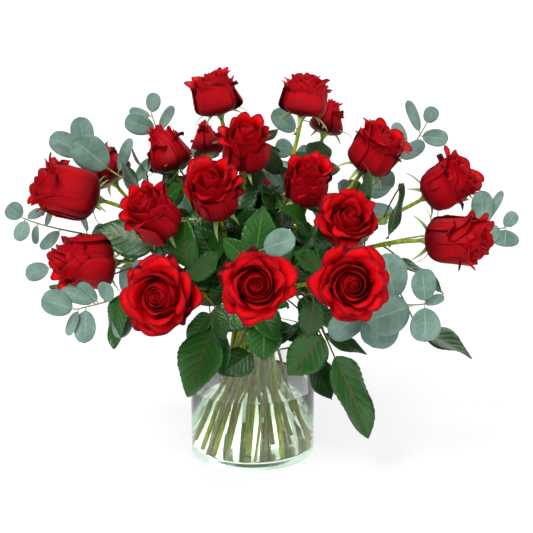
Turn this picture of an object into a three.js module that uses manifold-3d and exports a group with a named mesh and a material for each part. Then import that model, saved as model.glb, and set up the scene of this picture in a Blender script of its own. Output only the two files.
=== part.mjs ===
// A hand-tied bouquet of twenty red roses and twelve sprigs of eucalyptus in a glass cylinder vase.
// Millimetres, +Z up, origin at the centre of the vase's foot on the surface it stands on.
import * as THREE from "three";
import { mergeVertices } from "three/addons/utils/BufferGeometryUtils.js";
import Module from "manifold-3d";

const wasm = await Module();
wasm.setup();

// ---------------------------------------------------------------- driving dimensions

const GAP = 0.3; // kept between neighbouring solids
const VASE = { diameter: 150, height: 150, wall: 4, base: 8, footRound: 5, rimRound: 1.6 };
const VASE_SIDES = 40;
const WATER_DEPTH = 74;

const BINDING_ABOVE_RIM = 15; // the narrowest place of the bunch
const ROSE_STEM_RADIUS = 3.1;
const BRANCH_RADIUS = 1.8;
const STALK_RADIUS = 1;
const STEM_GAP = 1.6; // between stems where they cross the binding point
const WALL_GAP = 1.5; // between the outermost feet and the glass
const FOOT_LIFT = 2; // cut ends above the vase's inner floor
const CORE_WAIST = 6; // radius of the innermost ring of stems
const FEET_STEP = 18; // between the feet of one ring of roses and the next
const LEAVING = 0.36; // how far a stem keeps its lean past the binding point, of its reach
const ARRIVING = 0.24; // how far it is straight before its end, of its reach
const BENDABLE = 0.15; // of its length at either end, where it is bent no further
const STEM_CLEARANCE = 0.1; // between stems, and between a stem and a bloom, past the binding point
const SPIRAL_LAG = 72; // degrees from a stem's place at the binding point to where its head aims

const BLOOM_SCALE = 1;
const BLOOM_CENTRE = 0.94; // height of the middle of its top, of its full height
const NECK_RADIUS = 4.5;
const BLOOM_SIDES = 10;

const LEAF_THICKNESS = 1.2;
const LEAF_SCALE = 1;
const EUCALYPTUS_SCALE = 1;

const STEM_SIDES = 5;
const STALK_SIDES = 4;
const STEM_BENDS = 6; // straight pieces in the curved part of a stem
const SMOOTHING = 0.08; // steps in a cut edge smaller than this are taken out
const PASSES = { round: 200, blooms: 100, stems: 60 }; // tries at moving neighbours apart

const BINDING = VASE.height + BINDING_ABOVE_RIM;
const VASE_INSIDE = VASE.diameter / 2 - VASE.wall;
const FOOT_HEIGHT = VASE.base + FOOT_LIFT;

// ---------------------------------------------------------------- the plants

// One row a rose. at: the middle of the bloom, from the binding point. faces: degrees round from +X
// and degrees up. wide and tall: the bloom. open: 0 a bud, 1 full. ring: its place in the bunch.
const ROSES = [
  { at: [-45, 80, 262], faces: [185, 76], wide: 62, tall: 56, open: 0.4, ring: "core" },
  { at: [63, 50, 264], faces: [20, 80], wide: 60, tall: 54, open: 0.5, ring: "core" },
  { at: [95, 130, 226], faces: [50, 62], wide: 42, tall: 48, open: 0, ring: "inner" },
  { at: [-103, 40, 202], faces: [165, 68], wide: 53, tall: 60, open: 0.1, ring: "inner" },
  { at: [-7, -20, 216], faces: [275, 62], wide: 60, tall: 64, open: 0.5, ring: "core" },
  { at: [-60, 150, 194], faces: [110, 55], wide: 44, tall: 50, open: 0, ring: "inner" },
  { at: [-46, -80, 170], faces: [255, 52], wide: 69, tall: 68, open: 0.7, ring: "inner" },
  { at: [-106, -90, 152], faces: [230, 42], wide: 62, tall: 66, open: 0.5, ring: "outer" },
  { at: [64, -60, 181], faces: [272, 56], wide: 56, tall: 62, open: 0.5, ring: "core" },
  { at: [145, 10, 205], faces: [335, 58], wide: 70, tall: 62, open: 0.6, ring: "inner" },
  { at: [230, 5, 166], faces: [342, 34], wide: 68, tall: 68, open: 0.7, ring: "outer" },
  { at: [232, -80, 118], faces: [335, 6], wide: 66, tall: 78, open: 0.6, ring: "outer" },
  { at: [-193, -60, 87], faces: [203, 4], wide: 64, tall: 76, open: 0.4, ring: "outer" },
  { at: [-217, -10, 160], faces: [188, 16], wide: 74, tall: 84, open: 0.6, ring: "outer" },
  { at: [-187, 110, 170], faces: [150, 50], wide: 56, tall: 60, open: 0.2, ring: "outer" },
  { at: [-95, -150, 70], faces: [252, 14], wide: 86, tall: 66, open: 1, ring: "outer" },
  { at: [5, -190, 94], faces: [272, 15], wide: 77, tall: 64, open: 1, ring: "outer" },
  { at: [108, -160, 87], faces: [276, 12], wide: 82, tall: 66, open: 1, ring: "outer" },
  { at: [106, -95, 140], faces: [282, 36], wide: 69, tall: 64, open: 0.9, ring: "inner" },
  { at: [15, 190, 120], faces: [85, 30], wide: 70, tall: 64, open: 0.7, ring: "outer" },
];

// One row a sprig. tip: its end, from the binding point. ends: the direction its tip points.
// shows: the direction its blades turn their faces to. leaves: those with places of their own, each
// how far back from the tip it leaves the branch, its own tip, and its width. pairs: how many
// further pairs follow, from how far back. size: the length of a blade in a pair.
const SPRIGS = [
  {
    tip: [-272, 5, 125], ends: [178, 24], shows: [240, 40], ring: "edge", pairs: 2, pairsFrom: 78, size: 36,
    leaves: [
      [0, [-290, 5, 140], 22],
      [2, [-274, -12, 102], 22],
      [4, [-250, 14, 134], 16],
      [26, [-236, -4, 134], 15],
      [18, [-262, 5, 94], 12],
      [46, [-248, -10, 90], 19],
    ],
  },
  {
    tip: [-240, 0, 66], ends: [184, 6], shows: [250, 30], ring: "edge", pairs: 3, pairsFrom: 50, size: 40,
    leaves: [[0, [-270, -5, 59], 23]],
  },
  {
    tip: [-199, -120, 47], ends: [200, -6], shows: [255, 40], ring: "edge",
    pairs: 1, pairsFrom: 104, size: 40,
    leaves: [
      [3, [-234, -125, 60], 31],
      [27, [-214, -108, 68], 18],
      [6, [-206, -132, 22], 12],
      [14, [-186, -136, 14], 25],
      [30, [-196, -100, 72], 17],
      [36, [-160, -110, 74], 24],
      [63, [-128, -98, 80], 30],
      [70, [-146, -136, 20], 25],
    ],
  },
  {
    tip: [-203, 40, 198], ends: [165, 30], shows: [262, 20], ring: "inner", pairs: 1, pairsFrom: 96, size: 36,
    leaves: [
      [8, [-242, 45, 216], 28],
      [5, [-206, 38, 240], 27],
      [40, [-208, 22, 214], 40],
      [50, [-146, 30, 216], 14],
      [72, [-122, 40, 190], 13],
    ],
  },
  {
    tip: [-124, 95, 236], ends: [125, 62], shows: [262, 10], ring: "inner", pairs: 2, pairsFrom: 56, size: 36,
    leaves: [
      [0, [-120, 95, 262], 18],
      [3, [-152, 102, 240], 12],
      [22, [-156, 88, 230], 25],
      [24, [-98, 95, 246], 13],
    ],
  },
  {
    tip: [212, 85, 225], ends: [25, 62], shows: [272, 15], ring: "outer", pairs: 1, pairsFrom: 110, size: 34,
    leaves: [
      [0, [222, 85, 246], 18],
      [14, [190, 80, 254], 13],
      [16, [238, 78, 208], 21],
      [28, [176, 92, 188], 18],
      [56, [208, 68, 206], 18],
      [70, [164, 68, 148], 16],
      [80, [148, 58, 168], 16],
      [44, [176, 102, 224], 17],
    ],
  },
  {
    tip: [298, -20, 119], ends: [354, 6], shows: [282, 30], ring: "edge", pairs: 2, pairsFrom: 62, size: 36,
    leaves: [
      [0, [296, -27, 98], 32],
      [3, [310, -15, 136], 16],
      [5, [266, -28, 110], 24],
      [26, [268, -20, 162], 27],
      [30, [294, -8, 160], 11],
    ],
  },
  {
    tip: [193, -138, 59], ends: [312, 22], shows: [275, 20], ring: "edge", pairs: 1, pairsFrom: 96, size: 40,
    leaves: [
      [0, [188, -146, 100], 28],
      [1, [194, -146, 18], 34],
      [5, [214, -134, 66], 11],
      [16, [130, -146, 42], 46],
      [40, [150, -108, 108], 39],
      [48, [138, -122, 4], 42],
      [66, [90, -112, 14], 32],
    ],
  },
  {
    tip: [10, -138, 120], ends: [290, 24], shows: [270, 30], ring: "inner", pairs: 1, pairsFrom: 50, size: 34,
    leaves: [[0, [46, -150, 137], 30]],
  },
  {
    tip: [55, 130, 214], ends: [95, 70], shows: [272, 5], ring: "inner", pairs: 3, pairsFrom: 64, size: 42,
    leaves: [
      [8, [26, 128, 236], 24],
      [30, [28, 130, 190], 24],
      [52, [82, 126, 186], 20],
    ],
  },
  {
    tip: [-110, 205, 105], ends: [120, 15], shows: [110, 40], ring: "edge", pairs: 4, pairsFrom: 12, size: 46,
    leaves: [[0, [-130, 232, 112], 30]],
  },
  {
    tip: [155, 185, 115], ends: [50, 15], shows: [60, 40], ring: "edge", pairs: 4, pairsFrom: 12, size: 46,
    leaves: [[0, [172, 210, 124], 30]],
  },
];

// One row a rose leaf of its own place: the rose it grows on, how far up the curved part of the
// stem its stalk leaves, then the blade's base and tip from the binding point, and its width.
const PLACED_LEAVES = [
  { rose: 16, from: 0.3, base: [-45, -95, 15], tip: [-75, -112, -56], width: 56 },
  { rose: 17, from: 0.25, base: [0, -90, -14], tip: [-32, -106, -32], width: 36 },
  { rose: 17, from: 0.45, base: [14, -104, 26], tip: [14, -128, -8], width: 42 },
  { rose: 18, from: 0.45, base: [80, -98, 10], tip: [44, -118, -30], width: 48 },
  { rose: 18, from: 0.2, base: [70, -84, -24], tip: [92, -96, -66], width: 42 },
  { rose: 18, from: 0.5, base: [95, -104, -14], tip: [140, -118, -102], width: 54 },
  { rose: 18, from: 0.35, base: [76, -90, 14], tip: [36, -104, 12], width: 26 },
  { rose: 12, from: 0.35, base: [84, -84, 8], tip: [132, -92, -12], width: 22 },
  { rose: 16, from: 0.6, base: [-40, -112, 46], tip: [-30, -126, 16], width: 22 },
  { rose: 17, from: 0.3, base: [10, -92, 6], tip: [50, -104, 20], width: 30 },
  { rose: 18, from: 0.6, base: [70, -112, 54], tip: [64, -124, 16], width: 34 },
  { rose: 7, from: 0.6, base: [-40, -66, 90], tip: [-64, -56, 126], width: 44 },
  { rose: 8, from: 0.6, base: [-108, -56, 108], tip: [-178, -40, 122], width: 52 },
  { rose: 4, from: 0.6, base: [-125, -10, 150], tip: [-158, 0, 192], width: 40 },
  { rose: 15, from: 0.7, base: [-126, 24, 176], tip: [-146, 32, 202], width: 34 },
  { rose: 13, from: 0.7, base: [-190, -20, 50], tip: [-234, -58, 58], width: 20 },
  { rose: 16, from: 0.75, base: [-146, -112, 62], tip: [-156, -134, 8], width: 38 },
  { rose: 12, from: 0.7, base: [190, -84, 16], tip: [252, -104, -8], width: 50 },
  { rose: 12, from: 0.75, base: [172, -50, 88], tip: [222, -60, 52], width: 36 },
  { rose: 11, from: 0.75, base: [176, -20, 172], tip: [160, -58, 116], width: 24 },
];

// Compound leaves that every rose stem carries: how far up its curved part, degrees round the stem
// from its outer side, and degrees away from the stem's own direction.
const COMPOUND_LEAVES = [
  { from: 0.26, round: -62, spread: 62 },
  { from: 0.5, round: 70, spread: 58 },
  { from: 0.38, round: 176, spread: 60 },
  { from: 0.64, round: -150, spread: 56 },
];
const COMPOUND = { rachis: 34, end: [52, 36], side: [42, 28], sideAt: 23, sideSpread: 62 };
const PAIR = { step: 27, spread: 56 };

// ---------------------------------------------------------------- small helpers

const vector = ([x, y, z]) => new THREE.Vector3(x, y, z);
const radians = THREE.MathUtils.degToRad;
const fromBinding = (place) => vector(place).add(new THREE.Vector3(0, 0, BINDING));
const roundFrom = ({ x, y }) => THREE.MathUtils.radToDeg(Math.atan2(y, x));

/** The unit vector that points degrees round from +X and degrees up. */
function direction([round, up]) {
  const [a, b] = [radians(round), radians(up)];
  return new THREE.Vector3(Math.cos(a) * Math.cos(b), Math.sin(a) * Math.cos(b), Math.sin(b));
}

/** A steady scatter between -1 and 1, the same for the same whole number. */
function scatter(n) {
  const wave = Math.sin(n * 12.9898) * 43758.5453;
  return 2 * (wave - Math.floor(wave)) - 1;
}

/** The part of v that is square to the unit vector axis, as a unit vector. */
const squareTo = (v, axis) => v.clone().addScaledVector(axis, -v.dot(axis)).normalize();

/** A closed three.js geometry as a solid. */
function solidOf(geometry) {
  const bare = geometry.clone();
  bare.deleteAttribute("normal");
  bare.deleteAttribute("uv");
  const merged = mergeVertices(bare, 1e-4);
  return new wasm.Manifold(
    new wasm.Mesh({
      numProp: 3,
      vertProperties: Float32Array.from(merged.attributes.position.array),
      triVerts: Uint32Array.from(merged.index.array),
    }),
  );
}

/** A solid's surface as a three.js geometry. */
function geometryOf(solid) {
  const { numProp, numVert, vertProperties, triVerts } = solid.getMesh();
  const places = new Float32Array(numVert * 3);
  for (let i = 0; i < numVert; i++)
    places.set(vertProperties.subarray(i * numProp, i * numProp + 3), i * 3);
  const geometry = new THREE.BufferGeometry();
  geometry.setAttribute("position", new THREE.BufferAttribute(places, 3));
  geometry.setIndex(new THREE.BufferAttribute(Uint32Array.from(triVerts), 1));
  return geometry;
}

/** The largest single body of a solid, cleaned of edges too short to matter. */
function mainBody(solid) {
  const bodies = solid.simplify(SMOOTHING).decompose();
  return bodies.sort((a, b) => b.volume() - a.volume())[0];
}

const union = (solids) => wasm.Manifold.union(solids);

// ---------------------------------------------------------------- vase and water

/** A lathe about the Z axis of [radius, height] pairs that start and end on the axis. */
function turned(profile, sides) {
  const points = profile.map(([radius, height]) => new THREE.Vector2(radius, height));
  return solidOf(new THREE.LatheGeometry(points, sides).rotateX(Math.PI / 2));
}

/** The glass: a thick-based cylinder with a rounded foot and rim. grow thickens it all round. */
function vase(grow = 0) {
  const outside = VASE.diameter / 2 + grow;
  const inside = VASE_INSIDE - grow;
  const { footRound, rimRound } = VASE;
  const rim = VASE.height + grow;
  const quarter = (1 - Math.SQRT1_2) * footRound;
  return turned(
    [
      [0, -grow],
      [outside - footRound, -grow],
      [outside - quarter, quarter - grow],
      [outside, footRound - grow],
      [outside, rim - rimRound],
      [outside - rimRound, rim],
      [inside + rimRound, rim],
      [inside, rim - rimRound],
      [inside, VASE.base + grow],
      [0, VASE.base + grow],
    ],
    VASE_SIDES,
  );
}

/** The water, with a channel for every stem that stands in it. */
function water(stems) {
  const bottom = VASE.base + GAP;
  const full = turned(
    [
      [0, bottom],
      [VASE_INSIDE - GAP, bottom],
      [VASE_INSIDE - GAP, VASE.base + WATER_DEPTH],
      [0, VASE.base + WATER_DEPTH],
    ],
    VASE_SIDES,
  );
  return mainBody(full.subtract(union(stems)));
}

// ---------------------------------------------------------------- stems

// A bunch tied with a spiral: each ring of stems is straight from the foot to the binding point
// and leans the same way round, so that the stems pass one another without touching.
const pairSpace = (a, b) => a.radius + b.radius + STEM_GAP;
const ringSpace = (a, b) => a + b + STEM_GAP;
const INNER_WAIST = CORE_WAIST + ringSpace(ROSE_STEM_RADIUS, ROSE_STEM_RADIUS);
const OUTER_WAIST = INNER_WAIST + ringSpace(ROSE_STEM_RADIUS, ROSE_STEM_RADIUS);
const EDGE_WAIST = OUTER_WAIST + ringSpace(ROSE_STEM_RADIUS, BRANCH_RADIUS);
const EDGE_FEET = VASE_INSIDE - WALL_GAP - BRANCH_RADIUS;
const OUTER_FEET = EDGE_FEET - ringSpace(ROSE_STEM_RADIUS, BRANCH_RADIUS) - STEM_GAP;
const RINGS = {
  core: { waist: CORE_WAIST, feet: OUTER_FEET - 2 * FEET_STEP },
  inner: { waist: INNER_WAIST, feet: OUTER_FEET - FEET_STEP },
  outer: { waist: OUTER_WAIST, feet: OUTER_FEET },
  edge: { waist: EDGE_WAIST, feet: EDGE_FEET },
};

/** Turns the stems of one ring apart, as little as they need, until none touches the next. */
function spreadRound(plants, waist) {
  const ring = [...plants].sort((a, b) => a.round - b.round);
  for (let pass = 0; pass < PASSES.round; pass++)
    ring.forEach((a, i) => {
      const b = ring[(i + 1) % ring.length];
      const turn = i + 1 === ring.length ? 360 : 0;
      const chord = Math.min(1, pairSpace(a, b) / (2 * waist));
      const short = THREE.MathUtils.radToDeg(2 * Math.asin(chord)) - (b.round + turn - a.round);
      if (a === b || short <= 0) return;
      a.round -= short / 2;
      b.round += short / 2;
    });
}

/** A stem's route: one straight piece from its foot to the binding point, then a curve to its end. */
class StemRoute extends THREE.Curve {
  constructor(round, ring, end, ending) {
    super();
    const { waist, feet } = RINGS[ring];
    const rise = BINDING - FOOT_HEIGHT;
    const lean = Math.sqrt(Math.max(0, feet ** 2 - waist ** 2)) / rise;
    const [c, s] = [Math.cos(radians(round)), Math.sin(radians(round))];
    this.waist = new THREE.Vector3(waist * c, waist * s, BINDING);
    this.ruling = new THREE.Vector3(-lean * s, lean * c, 1);
    this.foot = this.waist.clone().addScaledVector(this.ruling, -rise);
    this.ruling.normalize();
    const reach = this.waist.distanceTo(end);
    const control = this.waist.clone().addScaledVector(this.ruling, LEAVING * reach);
    const approach = end.clone().addScaledVector(ending, -ARRIVING * reach);
    this.curve = new THREE.CubicBezierCurve3(this.waist, control, approach, end);
  }
  getPoint(t) {
    const piece = t * (STEM_BENDS + 1);
    return piece <= 1
      ? this.foot.clone().lerp(this.waist, piece)
      : this.curve.getPoint((piece - 1) / STEM_BENDS);
  }
  getTangent(t) {
    const piece = t * (STEM_BENDS + 1);
    return piece <= 1 ? this.ruling.clone() : this.curve.getTangent((piece - 1) / STEM_BENDS);
  }
  /** The straight lines that the stem is made of, from its foot up. */
  lines() {
    const stops = Array.from({ length: STEM_BENDS + 2 }, (_, i) => this.getPoint(i / (STEM_BENDS + 1)));
    return stops.slice(1).map((stop, i) => new THREE.Line3(stops[i], stop));
  }
  /** Moves the curve by so much at a share of its length; its ends stay where they are. */
  bend(along, way, by) {
    const t = THREE.MathUtils.clamp(along, BENDABLE, 1 - BENDABLE);
    const [first, second] = [3 * (1 - t) ** 2 * t, 3 * (1 - t) * t ** 2];
    const share = by / (first ** 2 + second ** 2);
    this.curve.v1.addScaledVector(way, first * share);
    this.curve.v2.addScaledVector(way, second * share);
  }
  // Steps count pieces, not lengths, so the straight piece stays one.
  getPointAt(t) {
    return this.getPoint(t);
  }
  getTangentAt(t) {
    return this.getTangent(t);
  }
}

/** A round stem along a route. */
function tube(route, radius, steps, sides) {
  const corners = Array.from({ length: sides }, (_, i) => {
    const angle = (2 * Math.PI * i) / sides;
    return new THREE.Vector2(radius * Math.cos(angle), radius * Math.sin(angle));
  });
  return solidOf(
    new THREE.ExtrudeGeometry(new THREE.Shape(corners), { steps, bevelEnabled: false, extrudePath: route }),
  );
}

const stem = (route, radius) => tube(route, radius, STEM_BENDS + 1, STEM_SIDES);
const stalk = (from, to, radius) => tube(new THREE.LineCurve3(from, to), radius, 1, STALK_SIDES);

// ---------------------------------------------------------------- leaves

/** The unit normal, to the right, of the line from one corner to the next. */
const edgeNormal = (from, to) => new THREE.Vector2(to.y - from.y, from.x - to.x).normalize();

/** An outline that turns left, moved outwards: each corner goes along its own bisector. */
function widened(outline, grow) {
  return outline.map((corner, i) => {
    const before = edgeNormal(outline.at(i - 1), corner);
    const after = edgeNormal(corner, outline[(i + 1) % outline.length]);
    const middle = before.clone().add(after).normalize();
    return corner.clone().addScaledVector(middle, grow / Math.max(0.3, middle.dot(before)));
  });
}

/** A flat plate on the XY plane from the half outline above the X axis, mirrored below it. */
function plate(half, grow) {
  const mirrored = half.filter(([, y]) => y > 0).map(([x, y]) => [x, -y]);
  const outline = [...mirrored, ...half.toReversed()].map(([x, y]) => new THREE.Vector2(x, y));
  const depth = LEAF_THICKNESS + 2 * grow;
  const shape = new THREE.Shape(widened(outline, grow));
  return new THREE.ExtrudeGeometry(shape, { depth, bevelEnabled: false }).translate(0, 0, -depth / 2);
}

/** A simple blade along +X: pointed at both ends, widest a third of the way along. */
function blade(length, width, grow = 0) {
  return plate([[0, 0], [0.36 * length, 0.5 * width], [0.76 * length, 0.35 * width], [length, 0]], grow);
}

/** A compound rose leaf along +X, in one plate: a stalk, a pair of side leaflets and an end one. */
function compoundBlade(scale, grow) {
  const { rachis, end, side, sideAt, sideSpread } = COMPOUND;
  const [c, s] = [Math.cos(radians(sideSpread)), Math.sin(radians(sideSpread))];
  const onSide = (along, across) => [sideAt + along * c - across * s, along * s + across * c];
  const half = [
    [0, STALK_RADIUS],
    [sideAt - side[1] / 6, STALK_RADIUS],
    onSide(0.45 * side[0], side[1] / 2),
    onSide(side[0], 0),
    onSide(0.3 * side[0], -side[1] / 2),
    [rachis + 0.35 * end[0], end[1] / 2],
    [rachis + end[0], 0],
  ];
  return plate(half.map(([x, y]) => [x * scale, y * scale]), grow);
}

/** The frame of a leaf that starts at base, runs along and turns its upper side to face. */
function leafFrame(base, along, face) {
  const normal = squareTo(face, along);
  const across = normal.clone().cross(along);
  return new THREE.Matrix4().makeBasis(along, across, normal).setPosition(base);
}

/** The leaves that every rose stem carries. */
function stemLeaves(rose, grow) {
  return COMPOUND_LEAVES.flatMap(({ from, round, spread }, k) => {
    const seed = 7 * rose.number + 3 * k;
    const t = (1 + STEM_BENDS * (from + 0.06 * scatter(seed))) / (STEM_BENDS + 1);
    const [base, growing] = [rose.route.getPoint(t), rose.route.getTangent(t)];
    const outer = squareTo(new THREE.Vector3(base.x, base.y, 0.01), growing);
    const sideways = outer.applyAxisAngle(growing, radians(round + 24 * scatter(seed + 1)));
    const lean = radians(spread + 10 * scatter(seed + 2));
    const along = growing.clone().multiplyScalar(Math.cos(lean)).addScaledVector(sideways, Math.sin(lean));
    const scale = LEAF_SCALE * (1 + 0.16 * scatter(seed + 4));
    return [solidOf(compoundBlade(scale, grow).applyMatrix4(leafFrame(base, along, growing)))];
  });
}

/** The leaves that have places of their own. */
function placedLeaves(rose, grow) {
  return PLACED_LEAVES.filter((row) => row.rose === rose.number).flatMap((row) => {
    const t = (1 + STEM_BENDS * row.from) / (STEM_BENDS + 1);
    const [base, tip] = [fromBinding(row.base), fromBinding(row.tip)];
    const along = tip.clone().sub(base).normalize();
    const frame = leafFrame(base, along, outwardFace(base));
    const leaf = blade(base.distanceTo(tip), row.width * LEAF_SCALE, grow);
    const start = rose.route.getPoint(t);
    return [solidOf(leaf.applyMatrix4(frame)), stalk(start, base, STALK_RADIUS + grow)];
  });
}

/** The way a leaf at a place turns its face: away from the middle of the bunch, and up. */
function outwardFace(place) {
  return new THREE.Vector3(place.x, place.y, 0).normalize().add(new THREE.Vector3(0, 0, 0.6)).normalize();
}

/** A point of a sprig's branch and the way it grows there, so far back from its tip. */
function branchAt(sprig, back) {
  const t = Math.max(0, 1 - back / sprig.route.curve.getLength());
  return [sprig.route.curve.getPointAt(t), sprig.route.curve.getTangentAt(t)];
}

/** The leaves of a sprig that have places of their own. */
function sprigTipLeaves(sprig, grow) {
  return sprig.leaves.map(([back, place, width]) => {
    const [base] = branchAt(sprig, back);
    const along = fromBinding(place).sub(base);
    const length = along.length();
    const frame = leafFrame(base, along.normalize(), direction(sprig.shows));
    return solidOf(blade(length, width * EUCALYPTUS_SCALE, grow).applyMatrix4(frame));
  });
}

/** The paired leaves of a sprig further in, each pair a quarter turn from the last. */
function sprigPairs(sprig, grow) {
  return Array.from({ length: 2 * sprig.pairs }, (_, i) => {
    const pair = Math.floor(i / 2);
    const seed = 11 * sprig.number + i;
    const [base, growing] = branchAt(sprig, sprig.pairsFrom + PAIR.step * pair);
    const show = direction(sprig.shows);
    const turn = 180 * (i % 2) + 90 * (pair % 2) + 35 + 20 * scatter(seed);
    const sideways = squareTo(show, growing).applyAxisAngle(growing, radians(turn));
    const lean = radians(PAIR.spread + 12 * scatter(seed + 2));
    const along = growing.clone().multiplyScalar(Math.cos(lean)).addScaledVector(sideways, Math.sin(lean));
    const length = EUCALYPTUS_SCALE * sprig.size * (1 + 0.1 * scatter(seed + 4));
    const frame = leafFrame(base, along, show.multiplyScalar(0.8).add(growing));
    return solidOf(blade(length, 0.74 * length, grow).applyMatrix4(frame));
  });
}

// ---------------------------------------------------------------- blooms

/** A bloom's side from its neck up, as [radius, height] pairs. grow thickens it all round. */
function bloomSide({ radius, tall, open }, grow = 0) {
  const widest = 0.5 + 0.18 * open;
  const brim = 0.52 + 0.26 * open;
  return [
    [NECK_RADIUS + grow, -grow],
    [0.58 * radius + grow, 0.15 * tall],
    [0.93 * radius + grow, 0.36 * tall],
    [radius + grow, widest * tall],
    [(0.5 + 0.5 * brim) * radius + grow, 0.88 * tall],
    [brim * radius, tall + grow],
  ];
}

/** How far a bloom reaches from its axis, at a share of its height. */
function bloomRadiusAt(rose, share) {
  const side = bloomSide(rose);
  const k = Math.max(1, side.findIndex(([, height]) => height >= share * rose.tall));
  const [[lowRadius, low], [highRadius, high]] = [side[k - 1], side[k]];
  return THREE.MathUtils.mapLinear(share * rose.tall, low, high, lowRadius, highRadius);
}

/** A bloom, as a lathe about its own axis. */
function bloom(rose, grow = 0) {
  const shape = [[0, -grow], ...bloomSide(rose, grow), [0, BLOOM_CENTRE * rose.tall + grow]];
  const up = new THREE.Vector3(0, 0, 1);
  const turn = new THREE.Matrix4().makeRotationFromQuaternion(
    new THREE.Quaternion().setFromUnitVectors(up, rose.axis),
  );
  const points = shape.map(([r, h]) => new THREE.Vector2(r, h));
  const lathe = new THREE.LatheGeometry(points, BLOOM_SIDES).rotateX(Math.PI / 2);
  return solidOf(lathe.applyMatrix4(turn.setPosition(rose.neck)));
}

/** Moves blooms apart, as little as they need, until none touches another. */
function settleBlooms(roses) {
  const reach = (rose) => Math.max(1.03 * rose.radius, 0.52 * rose.tall); // a sphere round the bloom
  for (let pass = 0; pass < PASSES.blooms; pass++)
    roses.forEach((a, i) =>
      roses.slice(i + 1).forEach((b) => {
        const between = b.middle.clone().sub(a.middle);
        const short = reach(a) + reach(b) + GAP - between.length();
        if (short <= 0) return;
        between.setLength(short / 2);
        a.middle.sub(between);
        b.middle.add(between);
      }),
    );
}

// ---------------------------------------------------------------- planting

const number = (i) => String(i).padStart(2, "0");

/** Works out every rose: its bloom's size, place and axis. */
function gatherRoses() {
  const roses = ROSES.map((row, i) => ({
    ...row,
    number: i + 1,
    radius: (row.wide / 2) * BLOOM_SCALE,
    tall: row.tall * BLOOM_SCALE,
    middle: fromBinding(row.at),
    axis: direction(row.faces),
  }));
  settleBlooms(roses);
  for (const rose of roses)
    rose.neck = rose.middle.clone().addScaledVector(rose.axis, -rose.tall / 2);
  return roses;
}

/** Where two chains of straight lines pass closest: a point and its place along, on each. */
function closestPass(a, b) {
  let best = { distance: Infinity };
  const [onA, onB] = [new THREE.Vector3(), new THREE.Vector3()];
  a.forEach((lineA, i) =>
    b.forEach((lineB, j) => {
      const distance = Math.sqrt(lineA.distanceSqToLine3(lineB, onA, onB));
      if (distance >= best.distance) return;
      const along = [[i, lineA, onA], [j, lineB, onB]].map(
        ([k, line, point]) => (k - 1 + point.distanceTo(line.start) / line.distance()) / STEM_BENDS,
      );
      best = { distance, along, apart: onB.clone().sub(onA).normalize(), points: [onA.clone(), onB.clone()] };
    }),
  );
  return best;
}

/** Bends curved stems apart, as little as they need, until none touches another or a bloom. */
function partStems(plants, roses) {
  for (let pass = 0; pass < PASSES.stems; pass++)
    plants.forEach((a, i) => {
      for (const b of plants.slice(i + 1)) {
        const { distance, along, apart } = closestPass(a.of.route.lines(), b.of.route.lines());
        const short = a.radius + b.radius + STEM_CLEARANCE - distance;
        if (short <= 0) continue;
        a.of.route.bend(along[0], apart, -short / 2);
        b.of.route.bend(along[1], apart, short / 2);
      }
      for (const rose of roses.filter((rose) => rose !== a.of)) {
        const core = [new THREE.Line3(rose.neck, rose.neck.clone().addScaledVector(rose.axis, rose.tall))];
        const { distance, along, apart, points } = closestPass(core, a.of.route.lines());
        const share = points[0].distanceTo(rose.neck) / rose.tall;
        const short = bloomRadiusAt(rose, share) + a.radius + STEM_CLEARANCE - distance;
        if (short > 0) a.of.route.bend(along[1], apart, short);
      }
    });
}

/** Gives every rose and sprig a route through the binding point. */
function routePlants(roses, sprigs) {
  const plants = [
    ...roses.map((rose) => ({ of: rose, ring: rose.ring, radius: ROSE_STEM_RADIUS, aim: rose.neck })),
    ...sprigs.map((sprig) => ({ of: sprig, ring: sprig.ring, radius: BRANCH_RADIUS, aim: sprig.end })),
  ];
  for (const plant of plants) plant.round = roundFrom(plant.aim) - SPIRAL_LAG;
  for (const ring of Object.keys(RINGS))
    spreadRound(plants.filter((plant) => plant.ring === ring), RINGS[ring].waist);
  for (const { of, ring, round } of plants)
    of.route = of.neck
      ? new StemRoute(round, ring, of.neck.clone().addScaledVector(of.axis, -GAP), of.axis)
      : new StemRoute(round, ring, of.end, direction(of.ends));
  partStems(plants, roses);
}

const roses = gatherRoses();
const sprigs = SPRIGS.map((row, i) => ({ ...row, number: i + 1, end: fromBinding(row.tip) }));
routePlants(roses, sprigs);

const plants = [
  ...roses.map((rose) => ({
    name: "rose_stem_" + number(rose.number),
    stem: (grow) => stem(rose.route, ROSE_STEM_RADIUS + grow),
    leaves: (grow) => [...placedLeaves(rose, grow), ...stemLeaves(rose, grow)],
  })),
  ...sprigs.map((sprig) => ({
    name: "eucalyptus_" + number(sprig.number),
    stem: (grow) => stem(sprig.route, BRANCH_RADIUS + grow),
    leaves: (grow) => [...sprigTipLeaves(sprig, grow), ...sprigPairs(sprig, grow)],
  })),
];

/** Every plant's solid: its stem, with its leaves cut clear of all that was there before them. */
function growPlants() {
  const grownStems = plants.map((plant) => plant.stem(GAP));
  const grownBlooms = union(roses.map((rose) => bloom(rose, GAP)));
  const grownVase = vase(GAP);
  const grownLeaves = [];
  return plants.map((plant, i) => {
    const others = union([...grownStems.toSpliced(i, 1), grownBlooms, grownVase, ...grownLeaves]);
    const leaves = union(plant.leaves(0)).subtract(others);
    grownLeaves.push(union(plant.leaves(GAP)));
    return mainBody(plant.stem(0).add(leaves));
  });
}

// ---------------------------------------------------------------- the group

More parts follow.
